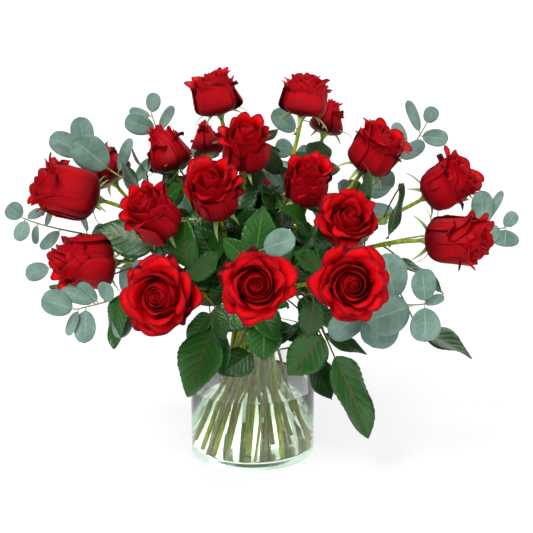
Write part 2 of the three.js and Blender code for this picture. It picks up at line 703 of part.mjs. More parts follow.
const PETAL = new THREE.MeshStandardMaterial({ color: 0xb3060f, roughness: 0.6 });
const ROSE_GREEN = new THREE.MeshStandardMaterial({ color: 0x2f5a22, roughness: 0.45 });
const EUCALYPTUS_GREEN = new THREE.MeshStandardMaterial({ color: 0x8fb3a2, roughness: 0.7 });
const CLEAR = { transparent: true, opacity: 0.35 };
const GLASS = new THREE.MeshStandardMaterial({ ...CLEAR, color: 0xcfe3da, roughness: 0.05 });
const WATER = new THREE.MeshStandardMaterial({ ...CLEAR, color: 0xd7e6e0, roughness: 0.02 });

/** A named mesh of one solid. */
function part(name, solid, material) {
  const mesh = new THREE.Mesh(geometryOf(solid), material);
  mesh.name = name;
  return mesh;
}

const bouquet = new THREE.Group();
bouquet.name = "roses_in_a_vase";
bouquet.add(part("vase", vase(), GLASS));
bouquet.add(part("water", water(plants.map((plant) => plant.stem(GAP))), WATER));
for (const rose of roses) bouquet.add(part("rose_bloom_" + number(rose.number), bloom(rose), PETAL));
growPlants().forEach((solid, i) =>
  bouquet.add(part(plants[i].name, solid, i < roses.length ? ROSE_GREEN : EUCALYPTUS_GREEN)),
);

export default bouquet;
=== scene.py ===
"""Red roses and eucalyptus in a glass vase: the looks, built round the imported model.

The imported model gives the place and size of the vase, the water, every bloom and every stem. Each
class below makes one kind of sub-assembly from those and dresses it with its own finishes.
"""

from __future__ import annotations

import logging
import math
from dataclasses import dataclass, field
from enum import Enum
from typing import Callable, ClassVar, Iterable, Sequence

import bmesh
import bpy
import numpy as np
from mathutils import Matrix, Vector


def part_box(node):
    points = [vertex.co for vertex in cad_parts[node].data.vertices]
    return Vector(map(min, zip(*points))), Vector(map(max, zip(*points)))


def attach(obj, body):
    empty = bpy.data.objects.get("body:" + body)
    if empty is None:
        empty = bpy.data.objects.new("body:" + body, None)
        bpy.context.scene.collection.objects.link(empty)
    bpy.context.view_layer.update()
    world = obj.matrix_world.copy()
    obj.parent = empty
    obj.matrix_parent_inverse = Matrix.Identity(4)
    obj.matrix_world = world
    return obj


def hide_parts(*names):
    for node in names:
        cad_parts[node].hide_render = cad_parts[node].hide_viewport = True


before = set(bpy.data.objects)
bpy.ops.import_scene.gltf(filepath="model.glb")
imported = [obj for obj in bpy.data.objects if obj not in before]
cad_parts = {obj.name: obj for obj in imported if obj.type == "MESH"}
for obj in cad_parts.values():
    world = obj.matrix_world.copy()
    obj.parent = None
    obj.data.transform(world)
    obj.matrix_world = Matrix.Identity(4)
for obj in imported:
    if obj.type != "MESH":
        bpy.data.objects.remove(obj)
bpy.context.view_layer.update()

log = logging.getLogger("bouquet")

Colour = tuple[float, float, float]

MM = 0.001
BODY = "root"
GOLDEN_ANGLE = math.radians(137.508)
BINDING_ABOVE_RIM = 15 * MM
LEAVING = 0.36  # a curved stem's handles, as shares of its reach
ARRIVING = 0.24
STEM_GAP_BELOW_BLOOM = 0.3 * MM
CURVE_SAMPLES = 101

# The UV map and the two corner attributes that the finishes read.
BLADE = "blade"
TONE = "tone"
LAYER = "layer"


# ---------------------------------------------------------------- numbers and places


def scatter(n: float) -> float:
    """A steady scatter between -1 and 1, the same for the same number."""
    wave = math.sin(n * 12.9898) * 43758.5453
    return 2 * (wave - math.floor(wave)) - 1


def blend(a: float, b: float, share: float) -> float:
    """The value so far from a to b."""
    return a + (b - a) * share


def ease(x: np.ndarray | float, low: float = 0.0, high: float = 1.0) -> np.ndarray | float:
    """A smooth step from 0 at low to 1 at high."""
    t = np.clip((x - low) / (high - low), 0.0, 1.0)
    return t * t * (3 - 2 * t)


def heading(around: float, up: float) -> Vector:
    """The unit vector that points degrees round from +X and degrees up."""
    a, b = math.radians(around), math.radians(up)
    return Vector((math.cos(a) * math.cos(b), math.sin(a) * math.cos(b), math.sin(b)))


def square_to(v: Vector, axis: Vector) -> Vector:
    """The part of v that is square to a unit axis, as a unit vector."""
    return (v - axis * v.dot(axis)).normalized()


def placed(base: Vector, along: Vector, face: Vector) -> Matrix:
    """The frame of a leaf: X along it, Z out of its upper side, its origin at its base.

    Args:
        base: Where it starts.
        along: The unit vector it grows along.
        face: Roughly the way its upper side looks.

    Returns:
        The matrix from the leaf's own frame to the row frame.
    """
    normal = square_to(face, along)
    across = normal.cross(along)
    rows = Matrix((along, across, normal)).transposed().to_4x4()
    return Matrix.Translation(base) @ rows


def lifted(base: Vector, axis: Vector, turn: float = 0.0) -> Matrix:
    """The frame with its Z along an axis, turned about it."""
    rotation = axis.to_track_quat("Z", "Y").to_matrix().to_4x4()
    return Matrix.Translation(base) @ rotation @ Matrix.Rotation(turn, 4, "Z")


def node_points(name: str) -> np.ndarray:
    """The separate corners of a CAD node, one row each, in metres."""
    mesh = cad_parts[name].data
    flat = np.zeros(len(mesh.vertices) * 3)
    mesh.vertices.foreach_get("co", flat)
    return np.unique(np.round(flat.reshape(-1, 3), 6), axis=0)


class Stems(Enum):
    """The two kinds of plant, by the name of their CAD nodes."""

    ROSE = "rose_stem"
    EUCALYPTUS = "eucalyptus"


@dataclass(frozen=True)
class Route:
    """A stem's centreline: straight from its foot to the binding point, then one curve to its end."""

    foot: Vector
    waist: Vector
    end: Vector
    ending: Vector

    # Where the foot and the waist are looked for, as shares of the vase's height.
    FOOT_TOP: ClassVar[float] = 0.2
    FOOT_REACH: ClassVar[float] = 0.48
    WAIST_HALF: ClassVar[float] = 0.08
    WAIST_REACH: ClassVar[float] = 0.27

    @classmethod
    def of(cls, kind: Stems, number: int, end: Vector, ending: Vector) -> "Route":
        """Reads where a stem starts and where it passes the binding point.

        Args:
            kind: The kind of plant.
            number: Its number, from 1.
            end: The top of the stem.
            ending: The unit vector it points along there.

        Returns:
            The stem's route.
        """
        points = node_points(f"{kind.value}_{number:02d}")
        reach = np.hypot(points[:, 0], points[:, 1])
        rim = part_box("vase")[1].z
        low = points[(points[:, 2] < cls.FOOT_TOP * rim) & (reach < cls.FOOT_REACH * rim)]
        near = np.abs(points[:, 2] - rim - BINDING_ABOVE_RIM) < cls.WAIST_HALF * rim
        middle = points[near & (reach < cls.WAIST_REACH * rim)]
        return cls(Vector(low.mean(0)), Vector(middle.mean(0)), end, ending)

    @property
    def handles(self) -> tuple[Vector, Vector, Vector, Vector]:
        """The four control points of the curved part."""
        reach = (self.end - self.waist).length
        ruling = (self.waist - self.foot).normalized()
        leave = self.waist + ruling * (LEAVING * reach)
        return self.waist, leave, self.end - self.ending * (ARRIVING * reach), self.end

    def point(self, t: float) -> Vector:
        """The point at a share of the curved part."""
        a, b, c, d = self.handles
        s = 1 - t
        return a * s**3 + b * (3 * s * s * t) + c * (3 * s * t * t) + d * t**3

    def growing(self, t: float) -> Vector:
        """The unit tangent at a share of the curved part."""
        a, b, c, d = self.handles
        s = 1 - t
        return ((b - a) * s * s + (c - b) * (2 * s * t) + (d - c) * t * t).normalized()

    def back(self, distance: float) -> float:
        """The share of the curved part that is a distance back from its end along it."""
        shares = np.linspace(0, 1, CURVE_SAMPLES)
        points = np.array([self.point(t) for t in shares])
        lengths = np.concatenate([[0], np.cumsum(np.linalg.norm(np.diff(points, axis=0), axis=1))])
        return float(np.interp(lengths[-1] - distance, lengths, shares))

    def stations(self, straight: int, curved: int) -> list[Vector]:
        """Points along the whole stem, from its foot up."""
        low = [self.foot.lerp(self.waist, i / straight) for i in range(straight)]
        return low + [self.point(i / curved) for i in range(curved + 1)]


@dataclass(frozen=True)
class Head:
    """A bloom's place and size, read from its CAD solid."""

    neck: Vector
    axis: Vector
    radius: float
    tall: float
    opening: float

    NECK_CORNERS: ClassVar[int] = 10  # the corners of a bloom's smallest ring, which is its neck
    WIDEST: ClassVar[float] = 0.995
    SHUT_BELOW: ClassVar[float] = 0.5
    OPEN_WITHIN: ClassVar[float] = 0.18

    @classmethod
    def of(cls, number: int) -> "Head":
        """Reads a bloom's solid.

        Args:
            number: The rose, from 1.

        Returns:
            Its neck, axis, radius, height and how far open it is, from 0 to 1.
        """
        points = node_points(f"rose_bloom_{number:02d}")
        gaps = np.linalg.norm(points[:, None] - points[None], axis=2)
        neck = points[np.argmin(np.sort(gaps, axis=1)[:, cls.NECK_CORNERS])]
        axis = points.mean(0) - neck
        axis /= np.linalg.norm(axis)
        heights = (points - neck) @ axis
        radii = np.linalg.norm(points - neck - np.outer(heights, axis), axis=1)
        tall, radius = heights.max(), radii.max()
        widest = heights[radii > cls.WIDEST * radius].mean() / tall
        opening = float(np.clip((widest - cls.SHUT_BELOW) / cls.OPEN_WITHIN, 0, 1))
        return cls(Vector(neck), Vector(axis), float(radius), float(tall), opening)


# ---------------------------------------------------------------- shader nodes


class Link:
    """An output socket that Python expressions can work on."""

    def __init__(self, kit: "Nodes", socket: bpy.types.NodeSocket) -> None:
        """Wraps a socket of a node tree."""
        self.kit = kit
        self.socket = socket

    def _math(self, operation: str, *values: object) -> "Link":
        """A Math node on this socket and others."""
        inputs = dict(enumerate(values))
        return self.kit.add("ShaderNodeMath", {"operation": operation}, inputs)

    def __add__(self, other: object) -> "Link":
        """The sum."""
        return self._math("ADD", self, other)

    def __radd__(self, other: object) -> "Link":
        """The sum."""
        return self._math("ADD", other, self)

    def __sub__(self, other: object) -> "Link":
        """The difference."""
        return self._math("SUBTRACT", self, other)

    def __rsub__(self, other: object) -> "Link":
        """The difference."""
        return self._math("SUBTRACT", other, self)

    def __mul__(self, other: object) -> "Link":
        """The product."""
        return self._math("MULTIPLY", self, other)

    def __rmul__(self, other: object) -> "Link":
        """The product."""
        return self._math("MULTIPLY", other, self)

    def __abs__(self) -> "Link":
        """The size without its sign."""
        return self._math("ABSOLUTE", self)

    def fraction(self) -> "Link":
        """What is left over the whole number below."""
        return self._math("FRACT", self)

    def least(self, other: object) -> "Link":
        """The smaller of two."""
        return self._math("MINIMUM", self, other)

    def most(self, other: object) -> "Link":
        """The larger of two."""
        return self._math("MAXIMUM", self, other)

    def step(self, low: float, high: float) -> "Link":
        """A smooth step from 0 at low to 1 at high."""
        settings = {"interpolation_type": "SMOOTHSTEP"}
        inputs = {"Value": self, "From Min": low, "From Max": high}
        return self.kit.add("ShaderNodeMapRange", settings, inputs)

    def spread(self, low: float, high: float) -> "Link":
        """This 0 to 1 value on another range."""
        return self * (high - low) + low


class Nodes:
    """One material's node tree, with a Principled shader at its end."""

    # A Mix node's colour sockets, which share their names with its other kinds.
    MIX_A: ClassVar[int] = 6
    MIX_B: ClassVar[int] = 7
    MIXED: ClassVar[int] = 2

    def __init__(self, name: str) -> None:
        """Starts a material of that name."""
        self.material = bpy.data.materials.new(name)
        self.material.use_nodes = True
        self.tree = self.material.node_tree
        self.tree.nodes.clear()
        self.shader = self._node("ShaderNodeBsdfPrincipled", {})
        self.output = self._node("ShaderNodeOutputMaterial", {})
        self.tree.links.new(self.shader.outputs[0], self.output.inputs["Surface"])

    def _node(self, kind: str, settings: dict[str, object]) -> bpy.types.Node:
        """A new node with its settings."""
        node = self.tree.nodes.new(kind)
        for name, value in settings.items():
            setattr(node, name, value)
        return node

    def _set(self, node: bpy.types.Node, inputs: dict[object, object]) -> None:
        """Gives a node's sockets their values or links."""
        for name, value in inputs.items():
            socket = node.inputs[name]
            if isinstance(value, Link):
                self.tree.links.new(value.socket, socket)
            else:
                socket.default_value = value

    def add(
        self, kind: str, settings: dict[str, object], inputs: dict[object, object], output: object = 0
    ) -> Link:
        """Adds any node.

        Args:
            kind: The node's type.
            settings: Its own settings, set first.
            inputs: Values or links for its sockets, by name or number.
            output: The output that is wanted.

        Returns:
            That output.
        """
        node = self._node(kind, settings)
        self._set(node, inputs)
        return Link(self, node.outputs[output])

    def mix(self, share: object, a: object, b: object) -> Link:
        """A colour so far from a to b."""
        first, second = (c if isinstance(c, Link) else (*c, 1.0) for c in (a, b))
        inputs = {"Factor": share, self.MIX_A: first, self.MIX_B: second}
        return self.add("ShaderNodeMix", {"data_type": "RGBA"}, inputs, self.MIXED)

    def noise(self, at: object, scale: float, detail: float = 2.0, rough: float = 0.5) -> Link:
        """A noise from 0 to 1."""
        inputs = {"Scale": scale, "Detail": detail, "Roughness": rough}
        if at is not None:
            inputs["Vector"] = at
        return self.add("ShaderNodeTexNoise", {}, inputs)

    def place(self, scale: Sequence[float] = (1, 1, 1)) -> Link:
        """Object coordinates, in metres, stretched."""
        at = self.add("ShaderNodeTexCoord", {}, {}, "Object")
        return self.add("ShaderNodeMapping", {}, {"Vector": at, "Scale": tuple(scale)})

    def map(self, name: str, scale: Sequence[float] = (1, 1, 1)) -> Link:
        """A UV map, stretched."""
        at = self.add("ShaderNodeUVMap", {"uv_map": name}, {})
        return self.add("ShaderNodeMapping", {}, {"Vector": at, "Scale": tuple(scale)})

    def axes(self, vector: Link) -> tuple[Link, Link]:
        """The first two parts of a vector."""
        node = self._node("ShaderNodeSeparateXYZ", {})
        self._set(node, {"Vector": vector})
        return Link(self, node.outputs[0]), Link(self, node.outputs[1])

    def attribute(self, name: str) -> Link:
        """A number kept on the piece's own corners."""
        return self.add("ShaderNodeAttribute", {"attribute_name": name}, {}, "Fac")

    def bump(self, height: Link, strength: float, depth: float) -> Link:
        """A surface normal bent by a height."""
        inputs = {"Strength": strength, "Distance": depth, "Height": height}
        return self.add("ShaderNodeBump", {}, inputs)

    def absorb(self, colour: Colour, density: float) -> None:
        """Fills the inside with a clear tint."""
        inputs = {"Color": (*colour, 1.0), "Density": density}
        volume = self.add("ShaderNodeVolumeAbsorption", {}, inputs)
        self.tree.links.new(volume.socket, self.output.inputs["Volume"])

    def finish(self, **sockets: object) -> bpy.types.Material:
        """Sets the Principled shader's sockets, spaces written as underscores.

        Args:
            **sockets: A value or link for each socket.

        Returns:
            The material.
        """
        named = {name.replace("_", " "): value for name, value in sockets.items()}
        for name, value in named.items():
            if name.endswith(("Color", "Tint")) and not isinstance(value, Link):
                named[name] = (*value, 1.0)
        self._set(self.shader, named)
        return self.material


# ---------------------------------------------------------------- design tables

ROSES = 20
THORN_PART, STALK_PART, CUT_PART = 1, 2, 3
RED_RIBBED = (4, 7, 9, 12, 16, 18)

# Share up the curved part of the stem, degrees round it, and degrees away from it.
COMPOUND_LEAVES = ((0.26, -62, 62), (0.5, 70, 58), (0.38, 176, 60), (0.64, -150, 56))

# The rose it grows on, how far up its stem, the blade's base and tip from the binding point, and its
# width, in millimetres, as the CAD stems have them.
PLACED_LEAVES = (
    (16, 0.3, (-45, -95, 15), (-75, -112, -56), 56),
    (17, 0.25, (0, -90, -14), (-32, -106, -32), 36),
    (17, 0.45, (14, -104, 26), (14, -128, -8), 42),
    (18, 0.45, (80, -98, 10), (44, -118, -30), 48),
    (18, 0.2, (70, -84, -24), (92, -96, -66), 42),
    (18, 0.5, (95, -104, -14), (140, -118, -102), 54),
    (18, 0.35, (76, -90, 14), (36, -104, 12), 26),
    (12, 0.35, (84, -84, 8), (132, -92, -12), 22),
    (16, 0.6, (-40, -112, 46), (-30, -126, 16), 22),
    (17, 0.3, (10, -92, 6), (50, -104, 20), 30),
    (18, 0.6, (70, -112, 54), (64, -124, 16), 34),
    (7, 0.6, (-40, -66, 90), (-64, -56, 126), 44),
    (8, 0.6, (-108, -56, 108), (-178, -40, 122), 52),
    (4, 0.6, (-125, -10, 150), (-158, 0, 192), 40),
    (15, 0.7, (-126, 24, 176), (-146, 32, 202), 34),
    (13, 0.7, (-190, -20, 50), (-234, -58, 58), 20),
    (16, 0.75, (-146, -112, 62), (-156, -134, 8), 38),
    (12, 0.7, (190, -84, 16), (252, -104, -8), 50),
    (12, 0.75, (172, -50, 88), (222, -60, 52), 36),
    (11, 0.75, (176, -20, 172), (160, -58, 116), 24),
)

# Each sprig's tip from the binding point, the way it ends, the way its blades face, its pairs, where
# they start, the length of their blades, and its placed leaves: how far back, tip and width.
SPRIGS = (
    (
        (-272, 5, 125), (178, 24), (240, 40), 2, 78, 36,
        (
            (0, (-290, 5, 140), 22), (2, (-274, -12, 102), 22), (4, (-250, 14, 134), 16),
            (26, (-236, -4, 134), 15), (18, (-262, 5, 94), 12), (46, (-248, -10, 90), 19),
        ),
    ),
    (
        (-240, 0, 66), (184, 6), (250, 30), 3, 50, 40,
        (
            (0, (-270, -5, 59), 23),
        ),
    ),
    (
        (-199, -120, 47), (200, -6), (255, 40), 1, 104, 40,
        (
            (3, (-234, -125, 60), 31), (27, (-214, -108, 68), 18), (6, (-206, -132, 22), 12),
            (14, (-186, -136, 14), 25), (30, (-196, -100, 72), 17), (36, (-160, -110, 74), 24),
            (63, (-128, -98, 80), 30), (70, (-146, -136, 20), 25),
        ),
    ),
    (
        (-203, 40, 198), (165, 30), (262, 20), 1, 96, 36,
        (
            (8, (-242, 45, 216), 28), (5, (-206, 38, 240), 27), (40, (-208, 22, 214), 40),
            (50, (-146, 30, 216), 14), (72, (-122, 40, 190), 13),
        ),
    ),
    (
        (-124, 95, 236), (125, 62), (262, 10), 2, 56, 36,
        (
            (0, (-120, 95, 262), 18), (3, (-152, 102, 240), 12), (22, (-156, 88, 230), 25),
            (24, (-98, 95, 246), 13),
        ),
    ),
    (
        (212, 85, 225), (25, 62), (272, 15), 1, 110, 34,
        (
            (0, (222, 85, 246), 18), (14, (190, 80, 254), 13), (16, (238, 78, 208), 21),
            (28, (176, 92, 188), 18), (56, (208, 68, 206), 18), (70, (164, 68, 148), 16),
            (80, (148, 58, 168), 16), (44, (176, 102, 224), 17),
        ),
    ),
    (
        (298, -20, 119), (354, 6), (282, 30), 2, 62, 36,
        (
            (0, (296, -27, 98), 32), (3, (310, -15, 136), 16), (5, (266, -28, 110), 24),
            (26, (268, -20, 162), 27), (30, (294, -8, 160), 11),
        ),
    ),
    (
        (193, -138, 59), (312, 22), (275, 20), 1, 96, 40,
        (
            (0, (188, -146, 100), 28), (1, (194, -146, 18), 34), (5, (214, -134, 66), 11),
            (16, (130, -146, 42), 46), (40, (150, -108, 108), 39), (48, (138, -122, 4), 42),
            (66, (90, -112, 14), 32),
        ),
    ),
    (
        (10, -138, 120), (290, 24), (270, 30), 1, 50, 34,
        (
            (0, (46, -150, 137), 30),
        ),
    ),
    (
        (55, 130, 214), (95, 70), (272, 5), 3, 64, 42,
        (
            (8, (26, 128, 236), 24), (30, (28, 130, 190), 24), (52, (82, 126, 186), 20),
        ),
    ),
    (
        (-110, 205, 105), (120, 15), (110, 40), 4, 12, 46,
        (
            (0, (-130, 232, 112), 30),
        ),
    ),
    (
        (155, 185, 115), (50, 15), (60, 40), 4, 12, 46,
        (
            (0, (172, 210, 124), 30),
        ),
    ),
)


def from_binding(place: Sequence[float]) -> Vector:
    """A place in millimetres from the binding point, in the row frame."""
    return Vector(place) * MM + Vector((0, 0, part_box("vase")[1].z + BINDING_ABOVE_RIM))


# ---------------------------------------------------------------- finishes


@dataclass(frozen=True)
class Finish:
    """A material of one slot of the record."""

    name: str
    slot: str

    def make(self) -> bpy.types.Material:
        """The material, made once."""
        found = bpy.data.materials.get(self.name)
        return found or self.paint(Nodes(self.name))

    def paint(self, kit: Nodes) -> bpy.types.Material:
        """Wires the material's nodes.

        Args:
            kit: The node tree to fill.

        Returns:
            The finished material.
        """
        raise NotImplementedError


@dataclass(frozen=True)
class PetalFinish(Finish):
    """Velvety red petal: painted shade deep at its foot and painted light on its inner petals, dark
    along its edge, finely veined.
    """

    # bright is the red where the petal is painted lit; deep is the painted shade at its foot and also
    # the colour of its veins.
    bright: Colour = (0.74, 0.0015, 0.004)
    deep: Colour = (0.17, 0.0006, 0.003)
    rim: Colour = (0.12, 0.001, 0.008)
    guard: Colour = (0.055, 0.001, 0.007)
    foot: Colour = (0.55, 0.42, 0.12)
    rim_start: float = 0.86

    def paint(self, kit: Nodes) -> bpy.types.Material:
        """Wires a petal's nodes: see the base class."""
        across, along = kit.axes(kit.map(BLADE))
        side = abs(across * 2 - 1)
        layer = kit.attribute(LAYER)
        veins = kit.noise(kit.map(BLADE, (34, 2.5, 1)), 1.0, 3.0)
        clouds = kit.noise(kit.place(), 90.0, 2.0)
        # Painted shade: deep red at the petal's foot, rising to the bright red higher up, stands in for
        # the shade inside the bloom.
        lit = along.step(0.15, 0.75) * clouds.spread(0.7, 1.2).least(1.0)
        colour = kit.mix(lit, self.deep, self.bright)
        colour = kit.mix(veins.step(0.45, 0.75) * 0.30, colour, self.deep)
        edge = side.step(self.rim_start, 1.02).most(along.step(self.rim_start + 0.06, 1.01))
        colour = kit.mix(edge * veins.spread(0.4, 1.1).least(1.0), colour, self.rim)
        # Painted light: the heart and the inner petals are lifted towards the bright red, so the middle
        # of the bloom reads lit.
        colour = kit.mix((1 - layer.step(0.0, 0.35)) * 0.55, colour, self.bright)
        bruised = layer.step(0.90, 1.0) * clouds.step(0.25, 0.6) * along.step(0.1, 0.6)
        colour = kit.mix(bruised, colour, self.guard)
        colour = kit.mix((1 - along.step(0.02, 0.14)) * 0.6, colour, self.foot)
        height = veins * 0.7 + kit.noise(kit.place(), 1500.0, 2.0) * 0.3
        return kit.finish(
            Base_Color=colour,
            Roughness=veins.spread(0.42, 0.62),
            Normal=kit.bump(height, 0.22, 0.4 * MM),
            Sheen_Weight=0.04,
            Sheen_Roughness=0.4,
            Sheen_Tint=(1.0, 0.10, 0.10),
            Specular_IOR_Level=0.07,
        )


@dataclass(frozen=True)
class LeafFinish(Finish):
    """Glossy leaf with pinnate veins: the midrib may be red-brown."""

    blade: Colour = (0.003, 0.034, 0.003)
    light: Colour = (0.016, 0.105, 0.005)
    vein: Colour = (0.030, 0.120, 0.022)
    midrib: Colour = (0.100, 0.200, 0.040)
    veins: float = 7.0
    lean: float = 0.30
    gloss: float = 0.26
    vein_depth: float = 0.6 * MM

    def paint(self, kit: Nodes) -> bpy.types.Material:
        """Wires a leaf's nodes: see the base class."""
        across, along = kit.axes(kit.map(BLADE))
        side = abs(across * 2 - 1)
        tone = kit.attribute(TONE)
        wander = kit.noise(kit.map(BLADE, (3, 6, 1)), 1.0, 2.0) * 0.10
        rise = (along - side * self.lean + wander) * self.veins
        ribs = abs(rise.fraction() - 0.5)
        side_vein = 1 - ribs.step(0.02, 0.10)
        fine = kit.noise(kit.place(), 900.0, 3.0)
        middle = 1 - side.step(0.015, 0.055)
        colour = kit.mix(tone, self.blade, self.light)
        colour = kit.mix(kit.noise(kit.place(), 60.0, 3.0).step(0.3, 0.75) * 0.45, colour, self.light)
        colour = kit.mix(fine.step(0.45, 0.7) * 0.18, colour, self.blade)
        colour = kit.mix(side_vein * 0.42, colour, self.vein)
        colour = kit.mix(middle * 0.9, colour, self.midrib)
        height = ribs.step(0.0, 0.35) * 0.75 + fine * 0.12 - middle * 0.6
        return kit.finish(
            Base_Color=colour,
            Roughness=fine.spread(self.gloss, self.gloss + 0.22),
            Normal=kit.bump(height, 0.55, self.vein_depth),
            Specular_IOR_Level=0.42,
        )


@dataclass(frozen=True)
class StemFinish(Finish):
    """Stem skin: green with long streaks and blotches of a second colour."""

    skin: Colour = (0.125, 0.230, 0.008)
    pale: Colour = (0.420, 0.480, 0.028)
    flush: Colour = (0.27, 0.070, 0.014)
    flushed: float = 0.45
    gloss: float = 0.38

    def paint(self, kit: Nodes) -> bpy.types.Material:
        """Wires a stem's nodes: see the base class."""
        streaks = kit.noise(kit.place((400, 400, 40)), 1.0, 3.0)
        blotches = kit.noise(kit.place((60, 60, 22)), 1.0, 3.0)
        colour = kit.mix(streaks.step(0.3, 0.7), self.skin, self.pale)
        colour = kit.mix(blotches.step(0.48, 0.68) * self.flushed, colour, self.flush)
        dots = kit.noise(kit.place(), 1400.0, 2.0).step(0.62, 0.74) * 0.35
        colour = kit.mix(dots, colour, self.pale)
        return kit.finish(
            Base_Color=colour,
            Roughness=streaks.spread(self.gloss, self.gloss + 0.2),
            Normal=kit.bump(streaks, 0.3, 0.3 * MM),
            Specular_IOR_Level=0.20,
        )


@dataclass(frozen=True)
class SepalFinish(Finish):
    """Soft light green sepal that browns towards its tip."""

    fresh: Colour = (0.40, 0.50, 0.17)
    dark: Colour = (0.21, 0.32, 0.07)
    tip: Colour = (0.30, 0.14, 0.04)

    def paint(self, kit: Nodes) -> bpy.types.Material:
        """Wires a sepal's nodes: see the base class."""
        across, along = kit.axes(kit.map(BLADE))
        lines = kit.noise(kit.map(BLADE, (16, 2, 1)), 1.0, 2.0)
        colour = kit.mix(lines.step(0.3, 0.7), self.dark, self.fresh)
        colour = kit.mix(along.step(0.72, 1.0) * kit.attribute(TONE), colour, self.tip)
        return kit.finish(
            Base_Color=colour,
            Roughness=lines.spread(0.45, 0.7),
            Normal=kit.bump(lines, 0.4, 0.3 * MM),
            Sheen_Weight=0.2,
        )


@dataclass(frozen=True)
class EucalyptusFinish(Finish):
    """Matt waxy blue-green blade with a pale midrib and a thin pale margin."""

    blade: Colour = (0.095, 0.190, 0.150)
    bloom: Colour = (0.195, 0.320, 0.265)
    young: Colour = (0.060, 0.140, 0.110)
    midrib: Colour = (0.36, 0.42, 0.27)
    margin: Colour = (0.32, 0.31, 0.22)

    def paint(self, kit: Nodes) -> bpy.types.Material:
        """Wires a blade's nodes: see the base class."""
        across, along = kit.axes(kit.map(BLADE))
        side = abs(across * 2 - 1)
        wax = kit.noise(kit.place(), 55.0, 4.0, 0.6)
        fine = kit.noise(kit.place(), 1300.0, 2.0)
        colour = kit.mix(kit.attribute(TONE), self.young, self.blade)
        colour = kit.mix(wax.step(0.25, 0.75) * 0.8, colour, self.bloom)
        branches = abs((along * 6 - side * 1.6 + wax * 0.8).fraction() - 0.5)
        vein = (1 - branches.step(0.01, 0.08)) * 0.20
        colour = kit.mix(vein, colour, self.midrib)
        middle = (1 - side.step(0.010, 0.040)) * (1 - along.step(0.60, 0.95))
        colour = kit.mix(middle * 0.75, colour, self.midrib)
        colour = kit.mix(side.step(0.965, 1.0) * 0.55, colour, self.margin)
        return kit.finish(
            Base_Color=colour,
            Roughness=wax.spread(0.52, 0.72),
            Normal=kit.bump(fine * 0.3 + vein * 2 - middle * 0.5, 0.35, 0.3 * MM),
            Sheen_Weight=0.15,
        )


@dataclass(frozen=True)
class GlassFinish(Finish):
    """Clear glass, slightly green, with faint ripples of the mould."""

    tint: Colour = (0.985, 0.998, 0.992)
    depth_tint: Colour = (0.62, 0.92, 0.74)
    density: float = 5.0

    def paint(self, kit: Nodes) -> bpy.types.Material:
        """Wires the glass: see the base class."""
        kit.absorb(self.depth_tint, self.density)
        ripple = kit.noise(kit.place((6, 6, 14)), 1.0, 1.0)
        return kit.finish(
            Base_Color=self.tint,
            Roughness=0.0,
            IOR=1.5,
            Transmission_Weight=1.0,
            Normal=kit.bump(ripple, 0.03, 0.6 * MM),
        )


@dataclass(frozen=True)
class WaterFinish(Finish):
    """Clear water, just stirred enough to shimmer."""

    tint: Colour = (0.99, 1.0, 0.995)
    depth_tint: Colour = (0.36, 0.60, 0.18)
    density: float = 5.0

    def paint(self, kit: Nodes) -> bpy.types.Material:
        """Wires the water: see the base class."""
        kit.absorb(self.depth_tint, self.density)
        ripple = kit.noise(kit.place(), 45.0, 1.0)
        return kit.finish(
            Base_Color=self.tint,
            Roughness=0.0,
            IOR=1.18,
            Transmission_Weight=1.0,
            Normal=kit.bump(ripple, 0.03, 0.4 * MM),
        )


@dataclass(frozen=True)
class FloorFinish(Finish):
    """The pale studio floor."""

    colour: Colour = (0.42, 0.42, 0.43)
    grain: Colour = (0.38, 0.38, 0.39)
    glow: float = 0.56

    def paint(self, kit: Nodes) -> bpy.types.Material:
        """Wires the floor: see the base class."""
        grain = kit.noise(kit.place(), 30.0, 2.0)
        return kit.finish(
            Base_Color=kit.mix(grain * 0.05, self.colour, self.grain),
            Roughness=0.65,
            Emission_Color=(1.0, 1.0, 1.0),
            Emission_Strength=self.glow,
        )


PETAL_FACE = PetalFinish("petal_face", "petal")
PETAL_BACK = PetalFinish(
    "petal_back",
    "petal",
    bright=(0.42, 0.0012, 0.006),
    deep=(0.10, 0.0006, 0.003),
    rim=(0.12, 0.001, 0.008),
    rim_start=0.90,
)
ROSE_LEAF = LeafFinish("rose_leaf", "rose_green")
ROSE_LEAF_UNDER = LeafFinish(
    "rose_leaf_under",
    "rose_green",
    blade=(0.050, 0.115, 0.040),
    light=(0.085, 0.165, 0.060),
    vein=(0.12, 0.20, 0.08),
    midrib=(0.15, 0.22, 0.08),
    gloss=0.5,
)
RED_RIB_LEAF = LeafFinish("rose_leaf_red_rib", "rose_green", midrib=(0.11, 0.060, 0.02))
CANE = StemFinish("rose_cane", "rose_green")
THORN = StemFinish(
    "rose_thorn", "rose_green", skin=(0.20, 0.075, 0.03), pale=(0.26, 0.16, 0.06), flushed=0.6
)
CUT_WOOD = StemFinish(
    "cut_end", "rose_green", skin=(0.45, 0.42, 0.24), pale=(0.62, 0.60, 0.40), flushed=0.1
)
STALK = StemFinish(
    "leaf_stalk", "rose_green", skin=(0.07, 0.10, 0.02), pale=(0.13, 0.14, 0.04), flushed=0.9
)
HIP = StemFinish("hip", "calyx", skin=(0.20, 0.30, 0.05), pale=(0.34, 0.44, 0.12), flushed=0.12)
SEPAL = SepalFinish("sepal", "calyx")
GUM_BLADE = EucalyptusFinish("eucalyptus_blade", "eucalyptus")
GUM_BRANCH = StemFinish(
    "eucalyptus_branch",
    "eucalyptus",
    skin=(0.17, 0.21, 0.06),
    pale=(0.34, 0.37, 0.13),
    flush=(0.20, 0.09, 0.03),
)
GLASS = GlassFinish("vase_glass", "glass")
WATER = WaterFinish("vase_water", "water")
FLOOR = FloorFinish("studio_floor", "floor")


# ---------------------------------------------------------------- mesh work

Shape = Callable[[np.ndarray, np.ndarray], np.ndarray]


